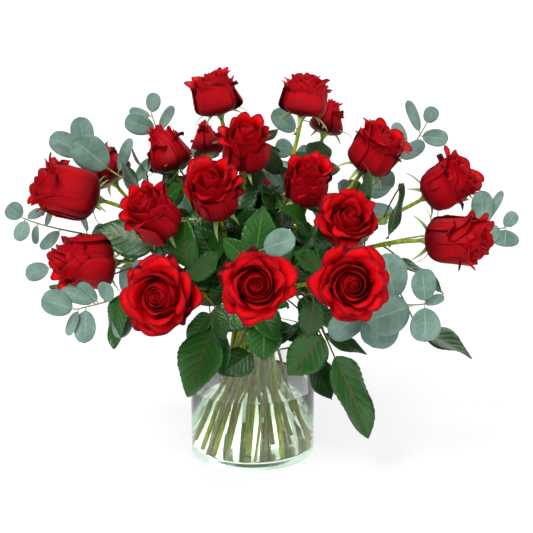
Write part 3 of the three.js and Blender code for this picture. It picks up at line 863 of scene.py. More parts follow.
@dataclass
class Sheets:
    """One mesh of many thin sheets and tubes, finished with a wall where it needs one."""

    name: str
    finishes: Sequence[Finish]
    work: bmesh.types.BMesh = field(default_factory=bmesh.new)

    def __post_init__(self) -> None:
        """Gives the mesh its UV map and its attributes."""
        self.uv = self.work.loops.layers.uv.new(BLADE)
        self.tone = self.work.verts.layers.float.new(TONE)
        self.layer = self.work.verts.layers.float.new(LAYER)

    def sheet(
        self,
        shape: Shape,
        steps: tuple[int, int],
        place: Matrix,
        tone: float = 0.5,
        layer: float = 0.0,
        material: int = 0,
    ) -> None:
        """Adds one grid and moves its corners to a shape.

        Args:
            shape: Turns across, from -1 to 1, and along, from 0 to 1, into points in metres.
            steps: How many faces across and along.
            place: The sheet's own frame.
            tone: Kept on its corners for the finish.
            layer: Kept on its corners for the finish.
            material: The finish's number on this piece.
        """
        made = bmesh.ops.create_grid(
            self.work, x_segments=steps[0], y_segments=steps[1], size=1.0, calc_uvs=True
        )["verts"]
        flat = np.array([v.co for v in made])
        points = shape(flat[:, 0], (flat[:, 1] + 1) / 2)
        turned = points @ np.array(place.to_3x3()).T + np.array(place.translation)
        for v, point in zip(made, turned.tolist()):
            v.co = point
            v[self.tone] = tone
            v[self.layer] = layer
        self._dress(made, material)

    def _dress(self, verts: Iterable[bmesh.types.BMVert], material: int) -> None:
        """Gives the faces of some corners their finish and smooth shading."""
        for f in {f for v in verts for f in v.link_faces}:
            f.material_index = material
            f.smooth = True

    def tube(
        self,
        points: Sequence[Vector],
        radii: Sequence[float],
        sides: int = 8,
        material: int = 0,
        end_material: int | None = None,
        tone: float = 0.5,
    ) -> None:
        """Adds a round tube with closed ends, one ring extruded from the last.

        Args:
            points: Its centreline.
            radii: Its radius at each point.
            sides: Its corners round.
            material: Its finish's number.
            end_material: The finish's number at its first end, if that differs.
            tone: Kept on its corners for the finish.
        """
        frames = ring_frames(points)
        first = frames[0] @ Matrix.Scale(radii[0], 4)
        start = bmesh.ops.create_circle(
            self.work, cap_ends=True, segments=sides, radius=1.0, matrix=first
        )["verts"]
        cap = start[0].link_faces[0]
        cap.normal_flip()
        cap.material_index = material if end_material is None else end_material
        made, ring = list(start), [e for v in start for e in v.link_edges]
        ring = list(dict.fromkeys(ring))
        for k in range(1, len(points)):
            grown = bmesh.ops.extrude_edge_only(self.work, edges=ring)["geom"]
            fresh = [g for g in grown if isinstance(g, bmesh.types.BMVert)]
            ring = [g for g in grown if isinstance(g, bmesh.types.BMEdge)]
            step = frames[k] @ Matrix.Scale(radii[k] / radii[k - 1], 4) @ frames[k - 1].inverted()
            bmesh.ops.transform(self.work, matrix=step, verts=fresh)
            made += fresh
        closing = bmesh.ops.contextual_create(self.work, geom=ring)["faces"]
        for v in made:
            v[self.tone] = tone
        self._dress(set(made) - set(start), material)
        for f in (*closing, cap):
            f.smooth = False

    def thorn(self, base: Vector, out: Vector, down: Vector, size: float, material: int = 0) -> None:
        """Adds one thorn: a flattened cone that hooks down the stem."""
        root = placed(base, down, out)
        made = bmesh.ops.create_cone(
            self.work, cap_ends=True, segments=6, radius1=0.42 * size, radius2=0.03 * size, depth=size
        )["verts"]
        for v in made:
            rise = v.co.z / size + 0.5
            hooked = v.co.x * (1.25 - 0.4 * rise) + 0.45 * size * rise**2
            v.co = root @ Vector((hooked, 0.55 * v.co.y, size * rise))
        self._dress(made, material)

    def lathe(
        self,
        side: Sequence[tuple[float, float]],
        place: Matrix,
        steps: int = 16,
        material: int = 0,
    ) -> None:
        """Spins a profile about its axis.

        Args:
            side: Pairs of radius and height, the first and the last on the axis.
            place: The frame whose Z is the axis.
            steps: How many faces round.
            material: The finish's number on this piece.
        """
        line = [self.work.verts.new((radius, 0, height)) for radius, height in side]
        edges = [self.work.edges.new(pair) for pair in zip(line, line[1:])]
        bmesh.ops.spin(
            self.work,
            geom=line + edges,
            cent=(0, 0, 0),
            axis=(0, 0, 1),
            angle=2 * math.pi,
            steps=steps,
            use_merge=True,
        )
        fresh = self._island(line)
        bmesh.ops.remove_doubles(self.work, verts=fresh, dist=1e-6)
        fresh = self._island([v for v in line if v.is_valid])
        faces = {f for v in fresh for f in v.link_faces}
        bmesh.ops.recalc_face_normals(self.work, faces=list(faces))
        bmesh.ops.transform(self.work, matrix=place, verts=fresh)
        self._dress(fresh, material)

    def _island(self, seeds: Iterable[bmesh.types.BMVert]) -> list[bmesh.types.BMVert]:
        """Every corner joined to some of them."""
        found, edge = set(seeds), list(seeds)
        while edge:
            near = {e.other_vert(v) for v in edge for e in v.link_edges} - found
            found |= near
            edge = list(near)
        return list(found)

    def done(self, wall: float = 0.0, back: int = 0) -> bpy.types.Object:
        """Makes the object.

        Args:
            wall: The wall that thin sheets get, or none.
            back: How many finishes further on a sheet's other side takes its own from.

        Returns:
            The object, riding on the vase's body.
        """
        mesh = bpy.data.meshes.new(self.name)
        self.work.to_mesh(mesh)
        self.work.free()
        piece = bpy.data.objects.new(self.name, mesh)
        bpy.context.scene.collection.objects.link(piece)
        for finish in self.finishes:
            mesh.materials.append(finish.make())
        if wall:
            solid = piece.modifiers.new("wall", "SOLIDIFY")
            solid.thickness = wall
            solid.offset = -1.0
            solid.material_offset = back
            solid.use_even_offset = False
        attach(piece, BODY)
        log.info("%s: %d faces", self.name, len(mesh.polygons))
        return piece


def ring_frames(points: Sequence[Vector]) -> list[Matrix]:
    """Frames along a line, each turned as little as it can be from the last, Z along the line."""
    after, before = [*points[1:], points[-1]], [points[0], *points[:-1]]
    ways = [(b - a).normalized() for a, b in zip(before, after)]
    turn = ways[0].to_track_quat("Z", "Y")
    frames = []
    for k, way in enumerate(ways):
        if k:
            turn = ways[k - 1].rotation_difference(way) @ turn
        frames.append(Matrix.Translation(points[k]) @ turn.to_matrix().to_4x4())
    return frames


# ---------------------------------------------------------------- roses


@dataclass(frozen=True)
class Petal:
    """One petal: a sheet that wraps its bloom's axis, swells from the hip and rolls back at its edge.

    Angles are in radians and lengths in metres. across runs from -1 to 1, along from 0 to 1.
    """

    reach: float
    top: float
    around: float
    half: float
    swell: float
    lean: float
    roll: float
    tuck: float
    curl: float
    ripple: float
    seed: float
    foot: float = 2.6 * MM
    foot_height: float = 3.5 * MM
    roll_start: float = 0.84
    corner: float = 0.24
    tip: float = 0.04

    def _angle(self, along: np.ndarray, across: np.ndarray) -> np.ndarray:
        """The petal's angle from the bloom's axis at each place."""
        rise = self.swell * (1 - ease(along, 0.0, 0.42)) + self.lean * ease(along, 0.12, 0.55)
        edge = 0.62 + 0.5 * np.abs(across) ** 1.6 + 0.16 * np.sin(4.1 * across + self.seed)
        return rise + self.roll * edge * ease(along, self.roll_start, 1.04) ** 1.2

    def _side(self, along: np.ndarray, across: np.ndarray) -> tuple[np.ndarray, np.ndarray]:
        """The radius and height, before they are fitted, at each place."""
        steps = np.linspace(0, 1, 28)
        at = along[:, None] * steps[None]
        angle = self._angle(at, across[:, None])
        stride = along / (len(steps) - 1)
        middle = (angle[:, 1:] + angle[:, :-1]) / 2
        return np.sin(middle).sum(1) * stride, np.cos(middle).sum(1) * stride

    def __call__(self, across: np.ndarray, along: np.ndarray) -> np.ndarray:
        """The petal's points: see Sheets.sheet."""
        spine = np.linspace(0, 1, 40)
        radius, height = self._side(spine, np.zeros(40))
        wide = (self.reach - self.foot) / max(radius.max(), 1e-6)
        high = (self.top - self.foot_height) / max(height.max(), 1e-6)
        wobble = 0.05 * np.sin(2.3 * across + 2.1 * self.seed)
        length = 1 - self.corner * np.abs(across) ** 3.2 + wobble * (1 - across**2)
        length = length + self.tip * np.exp(-((across / 0.30) ** 2)) - self.tip
        at = along * length
        radius, height = self._side(at, across)
        radius, height = self.foot + wide * radius, self.foot_height + high * height
        narrow = 0.74 + 0.26 * ease(at, 0.0, 0.5)
        angle = self.around + across * self.half * narrow
        radius = radius * (1 + self.tuck * across * ease(at, 0.05, 0.5))
        radius = radius + self.curl * np.abs(across) ** 4 * at**2
        wave = np.sin(3 * math.pi * across + 5 * self.seed) + 0.6 * np.sin(7.1 * across + 3 * self.seed)
        radius = radius + self.ripple * wave * at**3
        height = height + 0.6 * self.ripple * np.cos(5.3 * across + self.seed) * at**3
        return np.stack([radius * np.cos(angle), radius * np.sin(angle), height], axis=1)


@dataclass(frozen=True)
class Bloom:
    """One rose head: a scrolled heart, petals in a golden-angle spiral, and torn guard petals."""

    number: int
    head: Head
    wall: float = 0.42 * MM
    heart: int = 7
    guards: int = 4

    @property
    def petals(self) -> int:
        """How many petals it has between its heart and its guards."""
        return round(blend(24, 34, self.head.opening))

    def petal(self, k: int) -> Petal:
        """One petal of the spiral.

        Args:
            k: Its number, from the middle.

        Returns:
            The petal.
        """
        head, opening = self.head, self.head.opening
        share = (k + 0.5) / self.petals
        seed = 31 * self.number + k
        out = float(ease(share, 0.12, 0.95))
        drop = blend(0.16, 0.27, opening) * float(ease(share, 0.45, 1.0))
        rise = 0.06 * float(ease(share, 0.0, 0.4))
        spread = blend(0.10, blend(1.05, 1.12, opening), share**0.72)
        rolled = blend(16, blend(80, 150, opening), out)
        return Petal(
            reach=head.radius * spread * (1 + 0.02 * scatter(seed)),
            top=head.tall * (0.93 + rise - drop + blend(0.015, 0.09, out) * scatter(seed + 0.3)),
            around=k * GOLDEN_ANGLE + 0.22 * scatter(seed + 0.6),
            half=blend(2.7, 0.84, float(ease(share, 0.0, 0.62))) * (1 + 0.08 * scatter(seed + 0.2)),
            swell=math.radians(blend(48, 78, out)),
            lean=math.radians(blend(-12, blend(-16, 12, opening), out) + 3 * scatter(seed + 0.4)),
            roll=math.radians(rolled * (1 + 0.2 * scatter(seed + 0.5))),
            roll_start=blend(0.88, blend(0.86, 0.76, opening), out),
            tuck=blend(0.20, 0.055, out),
            curl=blend(0.2, 3.6, out) * MM,
            ripple=blend(0.15, 1.05, out) * MM,
            seed=float(seed % 17),
            tip=blend(0.02, 0.05, out),
        )

    def scroll(self, k: int) -> Petal:
        """One tightly rolled petal of the heart."""
        head = self.head
        return Petal(
            reach=head.radius * (0.045 + 0.022 * k),
            top=head.tall * (0.955 + 0.005 * k),
            around=k * GOLDEN_ANGLE,
            half=3.3,
            swell=math.radians(30),
            lean=math.radians(-7),
            roll=math.radians(10),
            tuck=0.34,
            curl=0.0,
            ripple=0.1 * MM,
            seed=float(k),
            foot=0.8 * MM,
        )

    def guard(self, k: int) -> Petal:
        """One short dark outer petal, bent back."""
        head, seed = self.head, 53 * self.number + k
        return Petal(
            reach=head.radius * (1.0 + 0.02 * scatter(seed)),
            top=head.tall * (0.68 + 0.12 * scatter(seed + 0.5)),
            around=k * 1.7 + 2.0 * scatter(self.number),
            half=0.66 + 0.14 * scatter(seed + 0.2),
            swell=math.radians(80),
            lean=math.radians(6),
            roll=math.radians(120 + 30 * scatter(seed + 0.3)),
            tuck=0.03,
            curl=2.0 * MM,
            ripple=1.3 * MM,
            seed=float(seed % 13),
            corner=0.42,
            roll_start=0.55,
        )

    def build(self) -> bpy.types.Object:
        """Makes the petals, from the heart outwards."""
        turn = 2.4 * self.number
        place = lifted(self.head.neck, self.head.axis, turn)
        made = Sheets(f"rose_petals_{self.number:02d}", (PETAL_BACK, PETAL_FACE))
        for k in range(self.heart):
            made.sheet(self.scroll(k), (26, 6), place)
        for k in range(self.petals):
            share = k / self.petals
            steps = (20, 10) if share < 0.35 else (18, 14)
            made.sheet(self.petal(k), steps, place, layer=0.8 * share)
        for k in range(self.guards):
            made.sheet(self.guard(k), (14, 12), place, layer=1.0)
        piece = made.done(self.wall, back=1)
        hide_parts(f"rose_bloom_{self.number:02d}")
        return piece


@dataclass(frozen=True)
class Calyx:
    """The green hip below a bloom and its five sepals."""

    number: int
    head: Head
    sepals: int = 5
    hip_radius: float = 5.8 * MM
    hip_height: float = 9.5 * MM
    length: float = 31 * MM
    width: float = 10.0 * MM
    wall: float = 0.7 * MM

    def sepal(self, k: int) -> Shape:
        """The shape of one sepal, which arches out and hangs."""
        seed = 17 * self.number + k
        length = self.length * (1 + 0.18 * scatter(seed))
        start = math.radians(blend(60, 88, self.head.opening) + 10 * scatter(seed + 1))
        droop = math.radians(blend(40, 82, 0.5 + 0.5 * scatter(seed + 2)))
        curve = math.radians(14 * scatter(seed + 3))

        def shape(across: np.ndarray, along: np.ndarray) -> np.ndarray:
            """The sepal's points: see Sheets.sheet."""
            steps = np.linspace(0, 1, 16)
            at = along[:, None] * steps[None]
            angle = start + droop * at**0.8
            stride = length * along / len(steps)
            out = self.hip_radius * 0.8 + np.sin(angle).sum(1) * stride
            up = self.hip_height * 0.72 + np.cos(angle).sum(1) * stride
            half = 0.5 * self.width * (1 - along) ** 0.8 * (0.55 + 1.2 * along * (1 - along))
            half = half + 0.25 * MM
            side = across * half + length * 0.25 * np.sin(curve * along * 2) * along
            cup = 0.9 * MM * (across**2) * (1 - along)
            return np.stack([out, side, up + cup], axis=1)

        return shape

    def build(self) -> tuple[bpy.types.Object, bpy.types.Object]:
        """Makes the hip and the sepals."""
        place = lifted(self.head.neck, self.head.axis, 0.7 * self.number)
        hip = Sheets(f"rose_hip_{self.number:02d}", (HIP,))
        r, h = self.hip_radius, self.hip_height
        side = [(0, -0.28 * h), (0.5 * r, -0.26 * h), (0.62 * r, -0.05 * h), (0.92 * r, 0.28 * h),
                (r, 0.55 * h), (0.93 * r, 0.82 * h), (0.7 * r, h), (0, 1.02 * h)]
        hip.lathe(side, place, 18)
        made = Sheets(f"rose_sepals_{self.number:02d}", (SEPAL,))
        for k in range(self.sepals):
            around = 2 * math.pi * k / self.sepals + 0.2 * scatter(self.number + k)
            turn = Matrix.Rotation(around, 4, "Z")
            browned = 0.5 + 0.5 * scatter(29 * self.number + k)
            made.sheet(self.sepal(k), (4, 14), place @ turn, tone=browned)
        return hip.done(), made.done(self.wall)


@dataclass(frozen=True)
class Leaflet:
    """A rose leaflet's blade: oval, toothed, folded along its midrib and quilted between its veins."""

    length: float
    width: float
    seed: float
    teeth: int = 11
    fold: float = 0.24
    droop: float = 0.16
    wave: float = 0.035
    quilt: float = 0.35 * MM

    def __call__(self, across: np.ndarray, along: np.ndarray) -> np.ndarray:
        """The blade's points: see Sheets.sheet."""
        half = 2.794 * along**0.62 * (1 - along) ** 0.9 * self.width / 2
        beat = (along * self.teeth) % 1.0
        notch = np.where(np.abs(across) > 0.99, beat - 0.35, 0.0)
        rim = half * (1 + 0.10 * notch * (1 - along))
        side = np.abs(across)
        x = self.length * (along + 0.028 * notch * np.sqrt(np.clip(1 - along, 0, 1)))
        y = -across * rim
        fold = self.fold * (1 + 0.4 * scatter(self.seed))
        z = fold * np.abs(y) * (1 - 0.35 * side)
        droop = self.droop * (1 + 0.8 * scatter(self.seed + 1))
        z = z - droop * self.length * along**2
        bend = self.wave * self.length * np.sin(9 * along + self.seed) * side**2 * np.sign(across)
        z = z + bend + self.wave * self.length * 0.6 * np.cos(7 * along + 2 * self.seed) * side**2
        ribs = np.cos(2 * math.pi * 7.0 * (along - 0.30 * side))
        z = z + self.quilt * ribs * side * (1 - side**4) * np.sin(math.pi * along)
        return np.stack([x, y, z], axis=1)


@dataclass(frozen=True)
class CompoundLeaf:
    """The leaf that a rose stem carries: a stalk, a pair of side leaflets and an end one."""

    rachis: float = 34 * MM
    end: tuple[float, float] = (52 * MM, 36 * MM)
    side: tuple[float, float] = (42 * MM, 28 * MM)
    side_at: float = 23 * MM
    side_spread: float = math.radians(62)
    steps: tuple[int, int] = (8, 33)
    sagging: float = 0.15
    stalk_rings: int = 6
    stalk_sides: int = 6
    stalk_radii: tuple[float, float] = (1.1 * MM, 0.7 * MM)

    def _sag(self, x: float) -> float:
        """How far the stalk's line is off straight at x."""
        return -self.sagging * x * x / self.rachis

    def grow(self, blades: Sheets, canes: Sheets, place: Matrix, scale: float, seed: float) -> None:
        """Adds the leaf.

        Args:
            blades: Takes the leaflets.
            canes: Takes the stalk.
            place: The leaf's own frame.
            scale: Its size.
            seed: Its own number.
        """
        tone = 0.5 + 0.5 * scatter(seed)
        stops = np.linspace(0, self.rachis, self.stalk_rings)
        line = [Vector((x * scale, 0, self._sag(x) * scale)) for x in stops]
        radii = [blend(*self.stalk_radii, x / self.rachis) for x in stops]
        canes.tube([place @ p for p in line], radii, self.stalk_sides, STALK_PART)
        tilt = Matrix.Rotation(0.25 + 0.15 * scatter(seed + 1), 4, "Y")
        tip = place @ Matrix.Translation(line[-1]) @ tilt
        blades.sheet(Leaflet(self.end[0] * scale, self.end[1] * scale, seed), self.steps, tip, tone)
        for way in (-1, 1):
            at = Vector((self.side_at * scale, 0, self._sag(self.side_at) * scale))
            turn = Matrix.Rotation(way * self.side_spread, 4, "Z")
            roll = Matrix.Rotation(0.15 + 0.2 * scatter(seed + 2 + way), 4, "Y")
            leaf = Leaflet(self.side[0] * scale, self.side[1] * scale, seed + way)
            blades.sheet(leaf, self.steps, place @ Matrix.Translation(at) @ turn @ roll, tone)


@dataclass(frozen=True)
class RoseStem:
    """One rose stem with its thorns, its own compound leaves and its single placed leaves."""

    number: int
    head: Head
    foot_radius: float = 3.0 * MM
    top_radius: float = 2.35 * MM
    thorns: int = 5
    leaf: CompoundLeaf = CompoundLeaf()
    sides: int = 10
    uneven: float = 0.035
    node_every: int = 7
    first_node: int = 4
    node_swelling: float = 1.28

    @property
    def route(self) -> Route:
        """Its centreline."""
        end = self.head.neck - self.head.axis * STEM_GAP_BELOW_BLOOM
        return Route.of(Stems.ROSE, self.number, end, self.head.axis)

    def build(self) -> tuple[bpy.types.Object, bpy.types.Object]:
        """Makes the stem and its leaves."""
        route = self.route
        canes = Sheets(f"rose_cane_{self.number:02d}", (CANE, THORN, STALK, CUT_WOOD))
        blades = Sheets(f"rose_leaves_{self.number:02d}", (self.leaf_finish, ROSE_LEAF_UNDER))
        self._cane(canes, route)
        self._compound_leaves(canes, blades, route)
        self._placed_leaves(canes, blades, route)
        node = f"{Stems.ROSE.value}_{self.number:02d}"
        pieces = canes.done(), blades.done(0.35 * MM, back=1)
        for piece in pieces:
            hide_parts(node)
        return pieces

    @property
    def leaf_finish(self) -> Finish:
        """Red-ribbed on the stems whose leaves are older."""
        return RED_RIB_LEAF if self.number in RED_RIBBED else ROSE_LEAF

    def _cane(self, canes: Sheets, route: Route) -> None:
        """Adds the stem with a swelling at each leaf, and its thorns."""
        points = route.stations(8, 22)
        last = len(points) - 1
        radii = []
        for k in range(last + 1):
            radius = blend(self.foot_radius, self.top_radius, k / last)
            radius *= 1 + self.uneven * scatter(k + self.number)
            at_node = k % self.node_every == self.first_node
            radii.append(radius * (self.node_swelling if at_node else 1.0))
        canes.tube(points, radii, self.sides, 0, CUT_PART)
        for k in range(self.thorns):
            seed = 5 * self.number + k
            t = 0.05 + 0.9 * (k + 0.5 + 0.4 * scatter(seed)) / self.thorns
            way = route.growing(t)
            side = square_to(Vector((1, 0.2, 0)), way)
            out = Matrix.Rotation(math.pi * scatter(seed + 0.5), 3, way) @ side
            base = route.point(t) + out * (self.top_radius * 0.9)
            canes.thorn(base, out, -way, (3.8 + 1.0 * scatter(seed + 2)) * MM, THORN_PART)

    def _compound_leaves(self, canes: Sheets, blades: Sheets, route: Route) -> None:
        """Adds the leaves that every stem carries, where the CAD stem has them."""
        for k, (share, around, spread) in enumerate(COMPOUND_LEAVES):
            seed = 7 * self.number + 3 * k
            t = share + 0.06 * scatter(seed)
            base, way = route.point(t), route.growing(t)
            outer = square_to(Vector((base.x, base.y, 0.01 * MM)), way)
            sideways = Matrix.Rotation(math.radians(around + 24 * scatter(seed + 1)), 3, way) @ outer
            lean = math.radians(spread + 10 * scatter(seed + 2))
            along = way * math.cos(lean) + sideways * math.sin(lean)
            scale = 1 + 0.16 * scatter(seed + 4)
            self.leaf.grow(blades, canes, placed(base, along, way), scale, seed)

    def _placed_leaves(self, canes: Sheets, blades: Sheets, route: Route) -> None:
        """Adds the single leaves of this stem that have places of their own."""
        for row in (row for row in PLACED_LEAVES if row[0] == self.number):
            _, share, start, end, width = row
            base, tip = from_binding(start), from_binding(end)
            out = Vector((base.x, base.y, 0)).normalized() + Vector((0, 0, 0.6))
            along = (tip - base).normalized()
            seed = share * 100 + width
            leaf = Leaflet((tip - base).length * 1.03, width * MM, seed, teeth=14, droop=0.07)
            blades.sheet(leaf, (8, 42), placed(base, along, out), 0.5 + 0.5 * scatter(seed + 3))
            first = route.point(share)
            control = first.lerp(base, 0.5) + Vector((0, 0, 0.12 * (base - first).length))
            line = [first.lerp(control, s).lerp(control.lerp(base, s), s) for s in np.linspace(0, 1, 9)]
            line.append(base + along * 2 * MM)
            canes.tube(line, [1.05 * MM] * len(line), 6, STALK_PART)


# ---------------------------------------------------------------- eucalyptus


@dataclass(frozen=True)
class GumLeaf:
    """A eucalyptus blade: round to oval, smooth-edged and slightly cupped."""

    length: float
    width: float
    seed: float
    stalk: float = 0.10

    def __call__(self, across: np.ndarray, along: np.ndarray) -> np.ndarray:
        """The blade's points: see Sheets.sheet."""
        half = 2.05 * along**0.56 * (1 - along) ** 0.50 * self.width / 2
        x = self.length * (self.stalk + (1 - self.stalk) * (1 - (1 - along) ** 1.12))
        y = -across * half
        cup = (0.10 + 0.10 * scatter(self.seed)) * np.abs(y)
        bend = 0.10 * (0.4 + scatter(self.seed + 1)) * self.length * along**2
        twist = 0.12 * scatter(self.seed + 2) * y * along
        ripple = 0.02 * self.length * np.sin(6 * along + self.seed) * across**2
        return np.stack([x, y, cup - bend + twist + ripple], axis=1)


@dataclass(frozen=True)
class Sprig:
    """One eucalyptus sprig: a thin branch with placed leaves at its tip and pairs further in."""

    number: int
    tip: tuple[float, float, float]
    ends: tuple[float, float]
    shows: tuple[float, float]
    pairs: int
    pairs_from: float
    size: float
    leaves: Sequence[tuple[float, tuple[float, float, float], float]]
    step: float = 27 * MM
    spread: float = 56.0
    foot_radius: float = 1.75 * MM
    tip_radius: float = 0.75 * MM

    def build(self) -> tuple[bpy.types.Object, bpy.types.Object]:
        """Makes the branch and its leaves."""
        route = Route.of(Stems.EUCALYPTUS, self.number, from_binding(self.tip), heading(*self.ends))
        twigs = Sheets(f"eucalyptus_twig_{self.number:02d}", (GUM_BRANCH, CUT_WOOD))
        blades = Sheets(f"eucalyptus_leaves_{self.number:02d}", (GUM_BLADE,))
        points = route.stations(6, 22)
        last = len(points) - 1
        radii = [blend(self.foot_radius, self.tip_radius, (k / last) ** 1.5) for k in range(last + 1)]
        twigs.tube(points, radii, 8, 0, 1)
        show = heading(*self.shows)
        for k, (back, place, width) in enumerate(self.leaves):
            base = route.point(max(0.0, route.back(back * MM)))
            along = from_binding(place) - base
            length = along.length
            self._leaf(twigs, blades, placed(base, along.normalized(), show), length, width * MM, k)
        for i in range(2 * self.pairs):
            self._paired(twigs, blades, route, show, i)
        pieces = twigs.done(), blades.done(0.45 * MM)
        for piece in pieces:
            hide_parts(f"{Stems.EUCALYPTUS.value}_{self.number:02d}")
        return pieces

    def _leaf(
        self, twigs: Sheets, blades: Sheets, place: Matrix, length: float, width: float, k: int
    ) -> None:
        """Adds one blade and its short stalk."""
        seed = 19 * self.number + k
        tone = 0.5 + 0.5 * scatter(seed)
        leaf = GumLeaf(length * 1.02, width * 1.05, float(seed % 23))
        blades.sheet(leaf, (8, 16), place, tone)
        ends = [place @ Vector((x * length, 0, 0)) for x in (0.0, 0.07, 0.16)]
        twigs.tube(ends, [0.7 * MM, 0.6 * MM, 0.5 * MM], 5, 0)

    def _paired(self, twigs: Sheets, blades: Sheets, route: Route, show: Vector, i: int) -> None:
        """Adds one leaf of a pair, where the CAD sprig has it."""
        pair = i // 2
        seed = 11 * self.number + i
        t = max(0.0, route.back(self.pairs_from * MM + self.step * pair))
        base, way = route.point(t), route.growing(t)
        turn = math.radians(180 * (i % 2) + 90 * (pair % 2) + 35 + 20 * scatter(seed))
        sideways = Matrix.Rotation(turn, 3, way) @ square_to(show, way)
        lean = math.radians(self.spread + 12 * scatter(seed + 2))
        along = way * math.cos(lean) + sideways * math.sin(lean)
        length = self.size * MM * (1 + 0.1 * scatter(seed + 4))
        self._leaf(twigs, blades, placed(base, along, show * 0.8 + way), length, 0.74 * length, 100 + i)


# ---------------------------------------------------------------- vase and water


@dataclass(frozen=True)
class Vase:
    """The glass cylinder with a thick base, and the water in it."""

    wall: float = 4 * MM
    base: float = 8 * MM
    foot_round: float = 5 * MM
    floor_round: float = 5 * MM
    rim_round: float = 1.9 * MM
    steps: int = 96
    overlap: float = 0.25 * MM
    meniscus: float = 1.3 * MM

    def build(self) -> tuple[bpy.types.Object, bpy.types.Object]:
        """Makes the glass and the water."""
        low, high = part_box("vase")
        outer = (high.x - low.x) / 2
        inner = outer - self.wall
        glass = Sheets("glass_vase", (GLASS,))
        side = [
            (0, 0),
            *arc(outer - self.foot_round, self.foot_round, self.foot_round, -90, 0, 6),
            *arc(outer - self.rim_round, high.z - self.rim_round, self.rim_round, 0, 90, 5),
            *arc(inner + self.rim_round, high.z - self.rim_round, self.rim_round, 90, 180, 5),
            *arc(inner - self.floor_round, self.base + self.floor_round, self.floor_round, 0, -90, 6),
            (0, self.base),
        ]
        glass.lathe(side, Matrix.Identity(4), self.steps)
        vase = glass.done()
        vase.visible_shadow = False
        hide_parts("vase")
        return vase, self._water(inner)

    def _water(self, inner: float) -> bpy.types.Object:
        """Makes the water, which wets the glass and climbs a little at its edge."""
        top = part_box("water")[1].z
        reach, low = inner + self.overlap, self.base - self.overlap
        corner = self.floor_round
        pool = Sheets("vase_water", (WATER,))
        side = [
            (0, low),
            *arc(reach - corner, low + corner, corner, -90, 0, 6),
            (reach, top + self.meniscus),
            (inner - 0.6 * MM, top + 0.4 * self.meniscus),
            (inner - 2.5 * MM, top),
            (0, top),
        ]
        pool.lathe(side, Matrix.Identity(4), self.steps)
        water = pool.done()
        water.visible_shadow = False
        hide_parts("water")
        return water


def arc(
    radius: float, height: float, size: float, start: float, end: float, steps: int
) -> list[tuple[float, float]]:
    """Points of a lathe profile on an arc, from one angle in degrees to another."""
    turns = [math.radians(blend(start, end, i / steps)) for i in range(steps + 1)]
    return [(radius + size * math.cos(t), height + size * math.sin(t)) for t in turns]


# ---------------------------------------------------------------- the studio


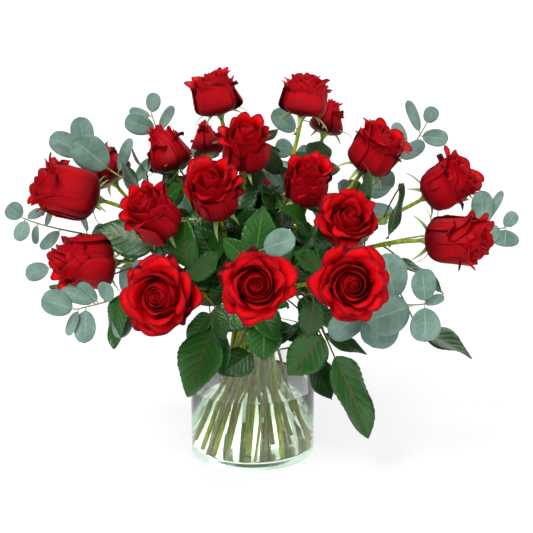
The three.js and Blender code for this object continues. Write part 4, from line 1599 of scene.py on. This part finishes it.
@dataclass(frozen=True)
class Studio:
    """The floor, the lights and the camera."""

    floor: float = 40.0
    floor_gap: float = 0.4 * MM
    surround: float = 0.50
    less_in_sheen: float = 0.32
    bounces: int = 32
    # Each light's name, degrees round from the front and up, strength, and width in degrees.
    suns: tuple[tuple[str, tuple[float, float], float, float], ...] = (
        ("key", (-34, 50), 2.5, 26),
        ("fill", (48, 14), 1.0, 50),
        ("rim", (165, 34), 1.1, 50),
    )
    lens: float = 103.5
    sensor: float = 36.0
    stand: tuple[float, float, float] = (0.017, -1.776, 0.675)
    tilt: float = 14.0

    def build(self) -> None:
        """Makes everything that isn't the bouquet."""
        ground = bmesh.new()
        bmesh.ops.create_grid(ground, x_segments=8, y_segments=8, size=self.floor)
        mesh = bpy.data.meshes.new("studio_floor")
        ground.to_mesh(mesh)
        ground.free()
        mesh.materials.append(FLOOR.make())
        piece = bpy.data.objects.new("studio_floor", mesh)
        bpy.context.scene.collection.objects.link(piece)
        piece.location.z = -self.floor_gap
        self._world()
        self._bounces()
        for row in self.suns:
            self._sun(*row)
        self._camera()

    def _world(self) -> None:
        """A white surround that lights the bouquet less than it shows."""
        world = bpy.data.worlds.new("surround")
        world.use_nodes = True
        tree = world.node_tree
        background = tree.nodes["Background"]
        background.inputs["Color"].default_value = (1.0, 1.0, 1.0, 1.0)
        path = tree.nodes.new("ShaderNodeLightPath")
        seen = tree.nodes.new("ShaderNodeMath")
        seen.operation = "MAXIMUM"
        tree.links.new(path.outputs["Is Camera Ray"], seen.inputs[0])
        tree.links.new(path.outputs["Is Singular Ray"], seen.inputs[1])
        dim = tree.nodes.new("ShaderNodeMath")
        dim.operation = "MULTIPLY_ADD"
        dim.inputs[1].default_value, dim.inputs[2].default_value = -self.less_in_sheen, self.surround
        tree.links.new(path.outputs["Is Glossy Ray"], dim.inputs[0])
        strength = tree.nodes.new("ShaderNodeMapRange")
        tree.links.new(dim.outputs[0], strength.inputs["To Min"])
        tree.links.new(seen.outputs[0], strength.inputs["Value"])
        tree.links.new(strength.outputs[0], background.inputs["Strength"])
        bpy.context.scene.world = world
        bpy.context.scene.view_settings.view_transform = "Standard"

    def _bounces(self) -> None:
        """Lets light leave the vase, in which it is turned back many times."""
        cycles = bpy.context.scene.cycles
        cycles.max_bounces = cycles.transmission_bounces = self.bounces
        cycles.glossy_bounces = self.bounces // 2

    def _sun(self, name: str, place: tuple[float, float], power: float, softness: float) -> None:
        """A broad soft light, so many degrees round from the front and up."""
        lamp = bpy.data.lights.new(name, "SUN")
        lamp.energy, lamp.angle = power, math.radians(softness)
        piece = bpy.data.objects.new(name, lamp)
        way = heading(place[0] - 90, place[1])
        piece.rotation_euler = way.to_track_quat("Z", "Y").to_euler()
        bpy.context.scene.collection.objects.link(piece)

    def _camera(self) -> None:
        """The camera that looks at the bouquet's front."""
        data = bpy.data.cameras.new("camera")
        data.lens, data.sensor_width = self.lens, self.sensor
        piece = bpy.data.objects.new("camera", data)
        piece.location = self.stand
        piece.rotation_euler = (math.radians(90 - self.tilt), 0, 0)
        bpy.context.scene.collection.objects.link(piece)
        bpy.context.scene.camera = piece


# ---------------------------------------------------------------- putting it together


def main() -> None:
    """Builds the bouquet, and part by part."""
    logging.basicConfig(level=logging.INFO, format="%(name)s: %(message)s")
    Studio().build()
    Vase().build()
    for number in range(1, ROSES + 1):
        head = Head.of(number)
        Bloom(number, head).build()
        Calyx(number, head).build()
        RoseStem(number, head).build()
    for number, row in enumerate(SPRIGS, 1):
        Sprig(number, *row).build()


if __name__ == "__main__":
    main()
